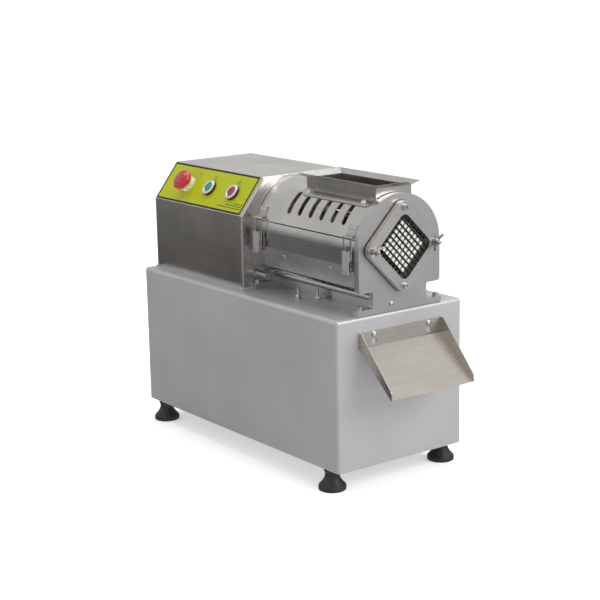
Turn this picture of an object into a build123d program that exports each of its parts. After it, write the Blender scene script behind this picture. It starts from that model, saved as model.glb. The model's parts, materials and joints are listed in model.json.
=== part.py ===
from build123d import *
import math
import os

# Electric vegetable dicer: a sheet-metal base on rubber feet, a drive housing with a
# sloping switch panel, and a barrel in which a crank-driven pusher forces the food
# through a square knife grid onto a chute.
#
# While modelling, X is measured forward from the base's rear face, Y from the
# machine's centre line (the switch panel faces -Y) and Z up from the floor. save()
# moves every piece back along X, so the origin ends up at the middle of the footprint.

# ---- driving dimensions, in millimetres ----
base_length = 600.0
base_width = 275.0
base_height = 262.0
base_sheet = 1.5
base_edge_r = 6.0
foot_height = 38.0
foot_r = 24.0
foot_rim = 9.0
foot_neck_r = 12.0
foot_neck_height = 27.0
foot_top_r = 14.5
foot_rubber = 36.0
foot_bolt_start = 12.0
foot_bolt_above = 14.0
bolt_hole_gap = 0.3
screw_hole_gap = 0.1
foot_inset_x = 37.0
foot_inset_y = 15.0
foot_bolt_r = 4.0
foot_nut_r = 8.0
foot_nut_t = 6.0

deck_plate_t = 6.0
deck_plate_rear = 22.0
deck_plate_front_gap = 6.0
deck_plate_width = 236.0
pan_sheet = 1.5
pan_flange = 12.0
pan_gap = 0.6
pan_slots = 7
pan_slot_length = 60.0
pan_slot_w = 5.0

housing_rear = 11.4
housing_length = 284.6
housing_width = 226.0
housing_height = 198.0
housing_near_height = 133.0
housing_slope_depth = 51.1
housing_sheet = 1.5
housing_bend_r = 4.0
rear_cover_sheet = 1.2
louvre_count = 6
louvre_length = 110.0
louvre_w = 5.0
louvre_pitch = 14.0
louvre_first = 60.0
cover_screw_inset = 12.0
cover_screw_side = 10.0

overlay_t = 0.8
overlay_margin = 1.6
button_up_slope = 40.0
estop_x = 81.0
start_x = 152.6
stop_x = 227.6
button_hole_r = 11.2
bezel_r = 14.8
bezel_height = 5.0
bezel_chamfer = 1.4
bezel_barrel_r = 11.0
bezel_barrel_depth = 12.0
cap_proud = 0.6
cap_stem_r = 3.0
cap_r = 8.8
cap_height = 6.0
cap_travel = 3.0
cap_gap = 0.5
estop_r = 20.0
estop_collar_r = 15.5
estop_collar_height = 9.0
estop_head_height = 13.0
estop_stem_r = 6.0
estop_crown_round = 7.0
estop_head_gap = 0.6
estop_stem_top = 1.0
estop_travel = 4.0
switch_block = 28.0
switch_block_depth = 34.0
switch_gap = 3.0
switch_hole = 9.0

axis_height = 109.0
plate_t = 12.0
plate_r = 88.5
plate_side_bottom = 38.0
plate_waist_half = 58.5
plate_foot_half = 91.5
plate_foot_height = 10.0
plate_corner_r = 6.0
plate_inner_r = 4.0
front_plate_setback = 2.0
tie_rod_r = 6.0
tie_rod_y = 50.0
tie_rod_height = 26.0

shell_r = 86.5
shell_t = 2.0
seam_angle = 11.0
seam_gap = 2.0
cover_end_gap = 1.0
side_shell_bottom = 43.0
side_fold_height = 81.0
side_fold_angle = 14.0
slot_count = 6
slot_pitch = 30.4
slot_w = 11.0
slot_first_x = 84.0
slot_low_angle = 29.0
slot_high_angle = 53.0

throat_rear_x = 87.0
throat_front_gap = 3.0
throat_half_width = 38.5
throat_top = 206.0
hopper_sheet = 1.5
lip_rise = 8.0
lip_out_rear = 18.0
lip_out_front = 13.0
lip_out_side = 9.5
skirt_gap = 0.1
skirt_half_width = 54.5
skirt_corner_r = 14.0
hopper_bolt_out = 8.0
hopper_bolt_r = 2.5
hopper_bolt_head_r = 4.5
hopper_bolt_rear = 17.0
hopper_bolt_front = 21.0
hopper_bolt_head_t = 3.2
hopper_bolt_round = 1.4
hopper_bolt_below = 4.0
skirt_start = 40.0

window_side = 84.0
window_r = 12.0
knife_side = 118.0
knife_r = 16.0
knife_t = 13.0
knife_chamfer = 0.8
blade_setback = 0.4
blade_layer_gap = 0.1
socket_r = 2.6
socket_depth = 3.4
spigot_wall = 4.0
spigot_depth = 6.0
spigot_gap = 0.5
cells = 9
blade_t = 0.8
blade_depth = 8.0
knife_fixing_offset = 66.5
knife_screw_head_t = 5.0
stud_r = 3.0
stud_reach = 14.0
stud_root = 8.0
stud_clearance = 0.4
thread_clearance = 0.08
wing_hub_r = 6.5
wing_hub_length = 9.0
wing_span = 17.0
wing_t = 2.6
wing_height = 9.0
wing_gap = 0.3
wing_root = (4.0, 2.0)
wing_tip_rise = 5.0
wing_tip_drop = 3.0
wing_chamfer = 1.2
wing_lean_near = 30.0
wing_lean_far = 55.0

trough_gap = 0.6
trough_t = 2.0
trough_rise = 14.0
trough_rear_x = 44.0
saddle_t = 4.0
saddle_half_width = 30.0
saddle_height = 50.0
saddle_inset = 18.0
bed_half_width = 47.0
bed_height = 18.0
bed_t = 2.0

rod_r = 14.0
bush_r = 22.0
bush_length = 46.0
bush_flange_r = 32.0
bush_flange_t = 6.0
running = 0.05
stroke = 144.0
rod_ratio = 94.0
wrist_back = 23.0
pusher_plate_t = 6.0
pusher_plate_inset = 6.0
pusher_block_t = 20.0
pusher_gap = 1.2
tooth_length = 20.0
tooth_gap = 1.3
tooth_setback = 6.0
toothless_rows = 1

clevis_half_width = 20.0
clevis_half_height = 22.0
clevis_slot_gap = 0.8
clevis_root = 7.0
wrist_pin_r = 7.0
small_eye_r = 13.0
big_eye_r = 17.0
beam_width = 20.0
con_rod_t = 16.0
beam_hollow = (24.0, 20.0, 4.0, 3.0)
crank_pin_above = 3.0
crank_pin_r = 9.0
crank_gap = 0.6
crank_clearance = 1.5
crank_arm_t = 16.0
crank_hub_r = 26.0
crank_end_r = 17.0
crank_hub_drop = 8.0
output_shaft_r = 12.5

gearbox_half_x = 48.0
gearbox_half_y = 46.0
gearbox_depth = 118.0
gearbox_boss_r = 30.0
gearbox_boss_rise = 10.0
gearbox_flange_t = 10.0
gearbox_flange_out = 14.0
gearbox_corner_r = 12.0
gearbox_front_cut = 10.0
worm_end = -20.0
worm_offset = 50.0
worm_drop = 77.0
worm_shaft_r = 10.0
pulley_y = -87.0
pulley_width = 20.0
big_pulley_r = 68.0
small_pulley_r = 27.2
groove_depth = 10.0
groove_width = 12.0
belt_width = 10.8
belt_t = 8.0
belt_gap = 0.6
motor_x = 430.0
motor_r = 66.0
motor_front_y = -55.0
motor_length = 158.0
motor_fan_length = 20.0
motor_shaft_r = 9.0
motor_shaft_in = 30.0
motor_fan_inset = 4.0
motor_pad_into = 8.0
motor_box_out = 18.0
motor_box_in = 20.0
motor_box_y = 10.0
motor_pad_x = 80.0
motor_pad_y = 186.0
motor_box = 46.0

deck_bolt_r = 3.0
deck_bolt_nut_r = 5.6
deck_bolt_height = 20.0
deck_bolt_under = 6.0
motor_stud_under = 14.0
washer_out = 1.6
washer_t = 1.4
deck_nut_t = 5.0
motor_stud_places = ((418.0, 79.0), (450.0, 61.0))
ground_screw_y = -19.5
ground_screw_height = 13.0
ground_screw_r = 4.2
ground_screw_t = 4.0
foot_bolt_y = 84.0
cap_head_r = 5.0
cap_head_t = 6.0
screw_r = 2.5
screw_head_r = 5.0
screw_head_t = 3.0
screw_head_round = 1.5
screw_length = 10.0

latch_inset = 12.0
latch_base_half = 9.0
latch_base_bottom = 73.0
latch_base_top = 115.0
latch_plate_t = 1.5
latch_pivot_out = 6.0
latch_pivot_height = 105.0
latch_pin_r = 2.0
ear_in = 3.5
ear_out = 5.0
ear_r = 4.0
cheek_in = 6.5
cheek_out = 8.0
lever_strap_out = 11.5
lever_length = 33.0
bail_wire_r = 1.25
bail_half_width = 9.6
bail_pivot_drop = 9.0
bail_top_height = 132.0
keeper_gap = 0.5
keeper_half = 6.5
keeper_plate_half = 10.5
keeper_angle = 22.0
keeper_plate = 20.0
keeper_nose_t = 3.0
keeper_lip = 4.0
keeper_seat = 0.15
keeper_lip_t = 2.0
latch_base_round = 3.0
latch_rivet_r = 2.4
latch_rivet_t = 1.2
latch_rivets = (5.0, 14.0)
lever_lip_out = 3.0

hinge_out = 5.0
hinge_knuckle_r = 4.0
hinge_pin_r = 2.0
hinge_end_inset = 22.0
hinge_knuckles = 5
hinge_knuckle_gap = 0.5
hinge_leaf_t = 1.5
hinge_leaf_drop = 26.0

chute_width = 182.0
chute_sheet = 1.5
chute_top = 236.0
chute_fold = 209.0
chute_reach = 83.0
chute_lip = 138.0
chute_wall_nose = 13.0
chute_wall_foot = 26.0
chute_gap = 0.3
chute_screw_y = 60.0
chute_screw_height = 229.5
keyhole_drop = 11.0
keyhole_w = 6.0
keyhole_r = 5.6

sensor_y = -78.0
sensor_height = 25.0
sensor_r = 6.0
sensor_reach = 30.0
sensor_nut_r = 9.0
sensor_nut_t = 4.0
sensor_inside = 25.0
gland_y = 80.0
gland_height = 60.0
gland_reach = 16.0
gland_hex_r = 13.0
gland_thread_r = 10.0
gland_bore_r = 4.5
gland_hex_t = 5.0
gland_cap_inset = 2.5
gland_cap_round = 3.0
gland_inside = 12.0
gland_nut_t = 4.0
contactor_size = (60.0, 45.0, 78.0)
contactor_place = (300.0, 80.0)
contactor_notch_half = 12.0
contactor_notch_depth = 8.0

# ---- places worked out from them ----
base_floor = foot_height
deck = base_floor + base_height
half_base = base_width / 2
axis_z = deck + axis_height
housing_front = housing_rear + housing_length
rear_plate_x = housing_front
barrel_rear = rear_plate_x + plate_t
front_plate_x = base_length - front_plate_setback - plate_t
barrel_front = front_plate_x
front_face = front_plate_x + plate_t
throat_length = barrel_front - barrel_rear - throat_rear_x - throat_front_gap
skirt_front_out = throat_front_gap - cover_end_gap
hopper_bolt_angle = math.degrees(math.acos((throat_half_width + hopper_bolt_out) / shell_r))
pusher_plate_side = window_side - pusher_plate_inset
deck_under = deck - base_sheet - deck_plate_t
crank_r = stroke / 2
wrist_x = housing_front - wrist_back
crank_x = wrist_x - rod_ratio - crank_r
cell_pitch = window_side / cells
arm_top = axis_z - clevis_half_height - crank_clearance
worm_x = crank_x + worm_offset
shaft_z = deck_under - worm_drop
x_middle = (base_length + chute_reach - gland_reach) / 2

os.makedirs("parts", exist_ok=True)


def save(node, *solids):
    """Write one node's solids, moved so that the origin is under the middle."""
    shift = Location((-x_middle, 0, 0))
    placed = [piece.moved(shift) for solid in solids for piece in solid.solids()]
    shape = placed[0] if len(placed) == 1 else Compound(children=placed)
    shape.label = node
    export_step(shape, f"parts/{node}.step")


def block(x0, x1, y0, y1, z0, z1):
    """A box between two corners."""
    return Pos((x0 + x1) / 2, (y0 + y1) / 2, (z0 + z1) / 2) * Box(x1 - x0, y1 - y0, z1 - z0)


def bar_x(radius, x0, x1, y=0.0, z=0.0):
    """A round bar along X."""
    return Pos((x0 + x1) / 2, y, z) * Rot(0, 90, 0) * Cylinder(radius, x1 - x0)


def bar_y(radius, y0, y1, x=0.0, z=0.0):
    """A round bar along Y."""
    return Pos(x, (y0 + y1) / 2, z) * Rot(90, 0, 0) * Cylinder(radius, y1 - y0)


def bar_z(radius, z0, z1, x=0.0, y=0.0):
    """A round bar along Z."""
    return Pos(x, y, (z0 + z1) / 2) * Cylinder(radius, z1 - z0)


def hex_x(radius, x0, x1, y, z):
    """A hexagonal bar along X."""
    return extrude(Plane((x0, y, z), z_dir=(1, 0, 0)) * RegularPolygon(radius, 6), x1 - x0)


def hex_z(radius, z0, z1, x, y):
    """A hexagonal bar along Z."""
    return extrude(Plane((x, y, z0)) * RegularPolygon(radius, 6), z1 - z0)


def across(sketch, x0, x1):
    """A Y-Z outline pushed along X from x0 to x1."""
    return extrude(Plane.YZ.offset(x0) * sketch, x1 - x0)


def diamond(side, corner_r, x0, x1):
    """A square bar along X, stood on one rounded corner, about the push axis."""
    face = Pos(0, axis_z) * Rot(0, 0, 45) * RectangleRounded(side, side, corner_r)
    return across(face, x0, x1)


def both_sides(shape):
    """A piece and its mirror image across the centre line."""
    return [shape, mirror(shape, Plane.XZ)]


# ---- base ----
def base_pieces():
    """Folded and welded base box, its stiffening deck plate and its slotted floor pan."""
    def rounded_box(inset):
        radius = base_edge_r - inset
        top = deck - inset
        solid = block(inset, base_length - inset, -half_base + inset, half_base - inset,
                      base_floor, top)
        edges = solid.edges().filter_by(Axis.Z) + solid.faces().sort_by(Axis.Z)[-1].edges()
        return fillet(edges, radius)

    shell = rounded_box(0) - rounded_box(base_sheet)
    shell -= bar_z(gearbox_boss_r + 1, deck - base_sheet - 1, deck + 1, crank_x)
    plate_side = deck_plate_width / 2
    plate = block(deck_plate_rear, base_length - base_sheet - deck_plate_front_gap,
                  -plate_side, plate_side, deck_under, deck - base_sheet)
    plate -= bar_z(gearbox_boss_r + 1, deck_under - 1, deck, crank_x)
    for x, y, radius in deck_bolt_places():
        hole = bar_z(radius + bolt_hole_gap, deck_under - 1, deck + 1, x, y)
        shell -= hole
        plate -= hole
    shell -= bar_x(gland_thread_r + screw_hole_gap, -1, base_sheet + 1, gland_y,
                   base_floor + gland_height)
    for y in (-chute_screw_y, chute_screw_y):
        shell -= bar_x(screw_r + screw_hole_gap, base_length - base_sheet - 1, base_length + 1, y,
                       base_floor + chute_screw_height)

    pan_half = half_base - base_sheet - pan_gap
    pan = block(base_sheet + pan_gap, base_length - base_sheet - pan_gap, -pan_half, pan_half,
                base_floor, base_floor + pan_flange)
    rim = base_sheet + pan_gap + pan_sheet
    pan -= block(rim, base_length - rim, -pan_half + pan_sheet, pan_half - pan_sheet,
                 base_floor + pan_sheet, base_floor + pan_flange + 1)
    corner = pan.edges().filter_by(Axis.Z).filter_by(lambda e: e.length > pan_sheet + 1)
    pan = fillet(corner.filter_by(lambda e: e.length > pan_flange - 0.1), base_edge_r - base_sheet)
    for row in range(pan_slots):
        y = (row - (pan_slots - 1) / 2) * pan_slot_w * 3
        slot = Pos(motor_x, y, base_floor) * Box(pan_slot_length, pan_slot_w, pan_sheet * 4)
        pan -= slot
    for x, y in foot_places():
        pan -= bar_z(foot_bolt_r + bolt_hole_gap, base_floor - 1, base_floor + 4, x, y)
    save("base_shell", shell)
    save("deck_plate", plate)
    save("base_floor_pan", pan)


def foot_places():
    """The four feet, near the base's corners."""
    y = half_base - foot_inset_y
    return [(x, side) for x in (foot_inset_x, base_length - foot_inset_x) for side in (-y, y)]


def feet_pieces():
    """Rubber feet, each with a bolt and nut that hold it to the floor pan."""
    feet = []
    bolts = []
    for x, y in foot_places():
        profile = Polyline((0, 0), (foot_r, 0), (foot_r, foot_rim), (foot_neck_r, foot_neck_height),
                           (foot_top_r, foot_rubber), (0, foot_rubber), close=True)
        rubber = revolve(Plane.XZ * make_face(profile), Axis.Z)
        rubber -= bar_z(foot_bolt_r + screw_hole_gap, foot_bolt_start, foot_rubber + 1)
        feet.append(Pos(x, y, 0) * rubber)
        inside = base_floor + pan_sheet
        bolt = bar_z(foot_bolt_r, foot_bolt_start, base_floor + foot_bolt_above, x, y)
        bolt += bar_z(foot_nut_r, foot_rubber, base_floor, x, y)
        bolt += hex_z(foot_nut_r, inside, inside + foot_nut_t, x, y)
        bolts.append(bolt)
    save("rubber_feet", *feet)
    save("foot_bolts", *bolts)


def deck_bolt_places():
    """Motor studs and end-plate foot bolts, as (x, y, radius)."""
    studs = [(x, side * y, deck_bolt_r) for x, y in motor_stud_places for side in (-1, 1)]
    for x in (rear_plate_x + plate_t / 2, front_plate_x + plate_t / 2):
        studs += [(x, side * foot_bolt_y, deck_bolt_r) for side in (-1, 1)]
    return studs


def deck_bolt_pieces():
    """Motor studs with nuts above the deck, and cap screws through the plates' feet."""
    bolts = []
    places = deck_bolt_places()
    for x, y, radius in places[:4]:
        seat = deck + washer_t
        stud = bar_z(radius, deck_under - motor_stud_under, deck + deck_bolt_height, x, y)
        stud += bar_z(deck_bolt_nut_r + washer_out, deck, seat, x, y)
        stud += hex_z(deck_bolt_nut_r, seat, seat + deck_nut_t, x, y)
        bolts.append(stud)
    for x, y, radius in places[4:]:
        top = deck + plate_foot_height
        screw = bar_z(radius, deck_under - deck_bolt_under, top, x, y)
        screw += bar_z(cap_head_r, top, top + cap_head_t, x, y)
        bolts.append(screw)
    bolts.append(bar_x(ground_screw_r, front_face, front_face + ground_screw_t, ground_screw_y,
                       deck + ground_screw_height))
    save("deck_bolts", *bolts)


# ---- drive housing and switch panel ----
def housing_outline(inset):
    """Housing section: upright near wall, sloping panel, flat top, upright far wall."""
    half = housing_width / 2
    corners = [(-half, deck), (-half, deck + housing_near_height),
               (-half + housing_slope_depth, deck + housing_height),
               (half, deck + housing_height), (half, deck)]
    face = make_face(Polyline(*corners, close=True))
    return offset(face, -inset, kind=Kind.INTERSECTION) if inset else face


def panel_plane(x, lift=0.0):
    """Plane on the sloping panel: local X along the machine, local Y up the slope."""
    rise = housing_height - housing_near_height
    length = math.hypot(housing_slope_depth, rise)
    normal = Vector(0, -rise / length, housing_slope_depth / length)
    low = Vector(x, -housing_width / 2, deck + housing_near_height)
    return Plane(low + normal * lift, x_dir=(1, 0, 0), z_dir=normal)


def slope_length():
    """Length of the sloping panel from its lower to its upper bend."""
    return math.hypot(housing_slope_depth, housing_height - housing_near_height)


def button_centres():
    """Button places along the panel."""
    return [housing_rear + estop_x, housing_rear + start_x, housing_rear + stop_x]


def on_panel(x, radius, low, high):
    """A round bar square to the panel, from low to high above its surface."""
    disc = panel_plane(x, low) * Pos(0, button_up_slope) * Circle(radius)
    return extrude(disc, high - low)


def housing_pieces():
    """Folded housing with its rear cover."""
    outer = across(housing_outline(0), housing_rear, housing_front)
    front = outer.faces().sort_by(Axis.X)[-1]
    bends = front.edges().filter_by(lambda e: e.center().Z > deck + 1)
    outer = fillet(bends, housing_bend_r)
    inner = across(housing_outline(housing_sheet), housing_rear - 1, housing_front - housing_sheet)
    open_bottom = block(housing_rear - 1, housing_front - housing_sheet,
                        -housing_width / 2 + housing_sheet, housing_width / 2 - housing_sheet,
                        deck - 1, deck + 2 * housing_sheet)
    inner_front = inner.faces().sort_by(Axis.X)[-1]
    inner_bends = inner_front.edges().filter_by(lambda e: e.center().Z > deck + 2)
    inner = fillet(inner_bends, housing_bend_r - housing_sheet)
    shell = outer - inner - open_bottom
    shell -= bar_x(bush_r + 0.5, housing_front - 10, housing_front + 1, 0, axis_z)
    shell -= bar_x(sensor_r + 0.1, housing_front - 10, housing_front + 1, sensor_y,
                   deck + sensor_height)
    for x in button_centres():
        shell -= on_panel(x, button_hole_r, -6, 6)
    save("housing_shell", shell)

    cover = across(housing_outline(0), housing_rear - rear_cover_sheet, housing_rear)
    for row in range(louvre_count):
        z = deck + louvre_first + row * louvre_pitch
        cover -= Pos(housing_rear, 0, z) * Box(6, louvre_length, louvre_w)
    for y, z in cover_screw_places():
        cover -= bar_x(screw_r + screw_hole_gap, housing_rear - 3, housing_rear + 1, y, z)
    save("housing_rear_cover", cover)


def cover_screw_places():
    """Rear cover screws, near its corners."""
    side = housing_width / 2 - cover_screw_side
    inset = cover_screw_inset
    return [(-side, deck + inset), (side, deck + inset), (side, deck + housing_height - inset),
            (-side, deck + housing_near_height - inset)]


def pan_head_pieces():
    """Identical pan-head screws: four in the rear cover and two that carry the chute."""
    screws = []
    for y, z in cover_screw_places():
        x = housing_rear - rear_cover_sheet
        screw = bar_x(screw_r, x, x + screw_length, y, z)
        head = bar_x(screw_head_r, x - screw_head_t, x, y, z)
        screws.append(screw + fillet(head.edges().sort_by(Axis.X)[0], screw_head_round))
    for y in (-chute_screw_y, chute_screw_y):
        z = base_floor + chute_screw_height
        x = base_length + chute_gap + chute_sheet + chute_gap
        screw = bar_x(screw_r, base_length - screw_length, x, y, z)
        head = bar_x(screw_head_r, x, x + screw_head_t, y, z)
        screws.append(screw + fillet(head.edges().sort_by(Axis.X)[-1], screw_head_round))
    save("pan_head_screws", *screws)


def panel_pieces():
    """Overlay plate, e-stop, two push buttons and the switch blocks behind them."""
    length = housing_length - 2 * overlay_margin - housing_bend_r
    height = slope_length() - 2 * overlay_margin
    middle = housing_rear + overlay_margin + length / 2
    sheet = panel_plane(middle) * Pos(0, overlay_margin + height / 2) * Rectangle(length, height)
    overlay = extrude(sheet, overlay_t)
    for x in button_centres():
        overlay -= on_panel(x, button_hole_r, -1, overlay_t + 1)
    save("panel_overlay", overlay)

    estop, start, stop = button_centres()
    top = overlay_t + estop_collar_height
    collar = on_panel(estop, estop_collar_r, overlay_t, top)
    collar += on_panel(estop, bezel_barrel_r, -bezel_barrel_depth, overlay_t)
    collar -= on_panel(estop, estop_stem_r + cap_gap, -bezel_barrel_depth - 1, top + 1)
    save("estop_collar", collar)
    stem_top = top + estop_travel + estop_stem_top
    stem = on_panel(estop, estop_stem_r, 2 - bezel_barrel_depth, stem_top)
    save("estop_stem", stem)
    raised = top + estop_travel
    head = on_panel(estop, estop_r, raised + estop_head_gap, raised + estop_head_height)
    crown = head.faces().sort_by(Axis((0, 0, 0), panel_plane(0).z_dir))[-1]
    head = fillet(crown.edges(), estop_crown_round)
    head -= on_panel(estop, estop_stem_r + 0.05, top, stem_top + 0.1)
    save("estop_mushroom", head)

    bezels = []
    for x in (start, stop):
        ring = on_panel(x, bezel_r, overlay_t, overlay_t + bezel_height)
        rim = ring.faces().sort_by(Axis((0, 0, 0), panel_plane(0).z_dir))[-1]
        ring = chamfer(rim.edges(), bezel_chamfer)
        ring += on_panel(x, bezel_barrel_r, -bezel_barrel_depth, overlay_t)
        ring -= on_panel(x, cap_r + cap_gap, -bezel_barrel_depth - 1, overlay_t + bezel_height + 1)
        bezels.append(ring)
    save("button_bezels", *bezels)
    for x, name in ((start, "start_button"), (stop, "stop_button")):
        high = overlay_t + bezel_height + cap_proud
        cap = on_panel(x, cap_r, high - cap_height, high)
        cap += on_panel(x, cap_stem_r, cap_travel - bezel_barrel_depth, high - cap_height)
        save(name, cap)

    blocks = []
    for x in button_centres():
        low = -bezel_barrel_depth - switch_gap - switch_block_depth
        face = panel_plane(x, low) * Pos(0, button_up_slope) * Rectangle(switch_block, switch_block)
        body = extrude(face, switch_block_depth)
        blocks.append(body - on_panel(x, estop_stem_r + 1, low + switch_block_depth - switch_hole, 0))
    save("switch_blocks", *blocks)


# ---- end plates, tie rods and bed ----
def plate_outline():
    """End plate: round top, straight sides, a waist on each side and a spread foot."""
    side_z = deck + plate_side_bottom
    foot_z = deck + plate_foot_height
    face = Pos(0, axis_z) * Circle(plate_r)
    face += Pos(0, (side_z + axis_z) / 2) * Rectangle(2 * plate_r, axis_z - side_z)
    face += Pos(0, (deck + side_z) / 2 + 2) * Rectangle(2 * plate_waist_half, side_z - deck + 4)
    face += Pos(0, (deck + foot_z) / 2) * Rectangle(2 * plate_foot_half, foot_z - deck)
    face -= Pos(0, deck - 5) * Rectangle(4 * plate_r, 10)

    def corners(half, height):
        return face.vertices().filter_by(
            lambda v: abs(abs(v.X) - half) < 0.1 and abs(v.Y - height) < 0.1)

    face = fillet(corners(plate_r, side_z), plate_corner_r)
    face = fillet(corners(plate_waist_half, side_z), plate_inner_r)
    return fillet(corners(plate_waist_half, foot_z), plate_inner_r)


def plate_pieces():
    """Rear and front end plates, tie rods and the channel on the deck between them."""
    outline = plate_outline()
    rear = across(outline, rear_plate_x, barrel_rear)
    rear -= bar_x(bush_r, rear_plate_x - 1, barrel_rear + 1, 0, axis_z)
    front = across(outline, front_plate_x, front_face)
    seat = window_side + 2 * (spigot_wall + spigot_gap)
    front -= diamond(seat, window_r + spigot_wall, front_plate_x - 1, front_face + 1)
    for y in (-foot_bolt_y, foot_bolt_y):
        hole = bar_z(deck_bolt_r + bolt_hole_gap, deck - 1, deck + plate_foot_height + 1)
        rear -= Pos(rear_plate_x + plate_t / 2, y, 0) * hole
        front -= Pos(front_plate_x + plate_t / 2, y, 0) * hole
    for side in (-1, 1):
        y = side * knife_fixing_offset
        front -= bar_x(stud_r, front_face - stud_root, front_face + 1, y, axis_z)
    save("rear_end_plate", rear)
    save("front_end_plate", front)

    rod = bar_x(tie_rod_r, barrel_rear, barrel_front, -tie_rod_y, deck + tie_rod_height)
    save("tie_rods", *both_sides(rod))

    bed = block(barrel_rear, barrel_front, -bed_half_width, bed_half_width, deck, deck + bed_height)
    inside = bed_half_width - bed_t
    bed -= block(barrel_rear - 1, barrel_front + 1, -inside, inside, deck - 1,
                 deck + bed_height - bed_t)
    save("bed_channel", bed)


def ring_sector(r_in, r_out, low, high, x0, x1):
    """Part of a tube about the push axis, on the near side, by angles above horizontal."""
    pie = [(0, axis_z)]
    steps = 6
    for i in range(steps + 1):
        angle = math.radians(low + (high - low) * i / steps)
        pie.append((-2 * r_out * math.cos(angle), axis_z + 2 * r_out * math.sin(angle)))
    wedge = across(make_face(Polyline(*pie, close=True)), x0, x1)
    tube = bar_x(r_out, x0, x1, 0, axis_z) - bar_x(r_in, x0 - 1, x1 + 1, 0, axis_z)
    return tube & wedge


def shell_pieces():
    """Side shells below the seam, and the hinged half-round cover above it."""
    lower = ring_sector(shell_r - shell_t, shell_r, 0, seam_angle, barrel_rear, barrel_front)
    fold_z = deck + side_fold_height
    drop = side_fold_height - side_shell_bottom
    inward = drop * math.tan(math.radians(side_fold_angle))
    skirt = make_face(Polyline((-shell_r, axis_z), (-shell_r, fold_z),
                               (inward - shell_r, fold_z - drop),
                               (inward - shell_r + shell_t, fold_z - drop),
                               (shell_t - shell_r, fold_z), (shell_t - shell_r, axis_z), close=True))
    lower += across(skirt, barrel_rear, barrel_front)
    save("side_shells", *both_sides(lower))

    x0 = barrel_rear + cover_end_gap
    x1 = barrel_front - cover_end_gap
    start = seam_angle + math.degrees(seam_gap / shell_r)
    cover = ring_sector(shell_r - shell_t, shell_r, start, 180 - start, x0, x1)
    inner = throat_half_width - hopper_sheet
    cover -= block(barrel_rear + throat_rear_x + hopper_sheet,
                   barrel_rear + throat_rear_x + throat_length - hopper_sheet,
                   -inner, inner, axis_z, axis_z + 2 * shell_r)
    for i in range(slot_count):
        x = barrel_rear + slot_first_x + i * slot_pitch
        slot = ring_sector(shell_r - 3 * shell_t, shell_r + shell_t, slot_low_angle,
                           slot_high_angle, x - slot_w / 2, x + slot_w / 2)
        for angle in (slot_low_angle, slot_high_angle):
            tilt = math.radians(angle)
            y = -shell_r * math.cos(tilt)
            z = axis_z + shell_r * math.sin(tilt)
            end = Pos(x, y, z) * Rot(90 - angle, 0, 0) * Cylinder(slot_w / 2, 6 * shell_t)
            slot += end
        cover -= slot
    for x, y, z, angle in hopper_bolt_places():
        hole = Pos(x, y, z) * Rot(math.copysign(90 - angle, -y), 0, 0) * Cylinder(
            hopper_bolt_r + screw_hole_gap, 12)
        cover -= hole
    save("barrel_cover", cover)


# ---- hopper ----
def hopper_bolt_places():
    """Four bolts through the hopper's skirt, as (x, y, z, angle)."""
    rear = barrel_rear + throat_rear_x + hopper_bolt_rear
    front = barrel_rear + throat_rear_x + throat_length - hopper_bolt_front
    angle = math.radians(hopper_bolt_angle)
    y = shell_r * math.cos(angle)
    z = axis_z + shell_r * math.sin(angle)
    return [(x, side * y, z, hopper_bolt_angle) for x in (rear, front) for side in (-1, 1)]


def hopper_pieces():
    """Hopper: throat, flared lip and skirt on the cover, with its four bolts."""
    x0 = barrel_rear + throat_rear_x
    x1 = x0 + throat_length
    top = deck + throat_top

    def lip(inset):
        low = Rectangle(x1 - x0 - 2 * inset, 2 * (throat_half_width - inset))
        length = x1 - x0 + lip_out_rear + lip_out_front - 2 * inset
        high = Rectangle(length, 2 * (throat_half_width + lip_out_side - inset))
        shift = (lip_out_front - lip_out_rear) / 2
        middle = (x0 + x1) / 2
        drop = 0.001 if inset else 0.0
        return loft([Plane((middle, 0, top - drop)) * low,
                     Plane((middle + shift, 0, top + lip_rise + drop)) * high])

    half = throat_half_width
    inner = half - hopper_sheet
    body = block(x0, x1, -half, half, axis_z + skirt_start, top)
    cylinder = bar_x(shell_r + skirt_gap, x0 - lip_out_rear, x1 + lip_out_rear, 0, axis_z)
    body -= cylinder
    body += lip(0)
    body -= block(x0 + hopper_sheet, x1 - hopper_sheet, -inner, inner, axis_z, top)
    body -= lip(hopper_sheet)
    skirt = RectangleRounded(x1 - x0 + skirt_front_out, 2 * skirt_half_width, skirt_corner_r)
    skirt = extrude(Plane(((x0 + x1 + skirt_front_out) / 2, 0, axis_z)) * skirt, 2 * shell_r)
    skirt &= bar_x(shell_r + skirt_gap + hopper_sheet, x0, x1 + skirt_front_out, 0, axis_z)
    skirt -= cylinder
    skirt -= block(x0 - 1, x1 + skirt_front_out + 1, -inner, inner, axis_z, axis_z + 2 * shell_r)
    body += skirt
    bolts = []
    for x, y, z, angle in hopper_bolt_places():
        turn = Pos(x, y, z) * Rot(math.copysign(90 - angle, -y), 0, 0)
        body -= turn * Cylinder(hopper_bolt_r + screw_hole_gap, 12)
        top_face = skirt_gap + hopper_sheet
        below = shell_t + hopper_bolt_below
        bolt = turn * Pos(0, 0, (top_face - below) / 2) * Cylinder(hopper_bolt_r, top_face + below)
        head = Cylinder(hopper_bolt_head_r, hopper_bolt_head_t)
        head = Pos(0, 0, top_face + hopper_bolt_head_t / 2) * head
        head = fillet(head.edges().sort_by(Axis.Z)[-1], hopper_bolt_round)
        bolts.append(bolt + turn * head)
    save("hopper", body)
    save("hopper_bolts", *bolts)


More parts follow.
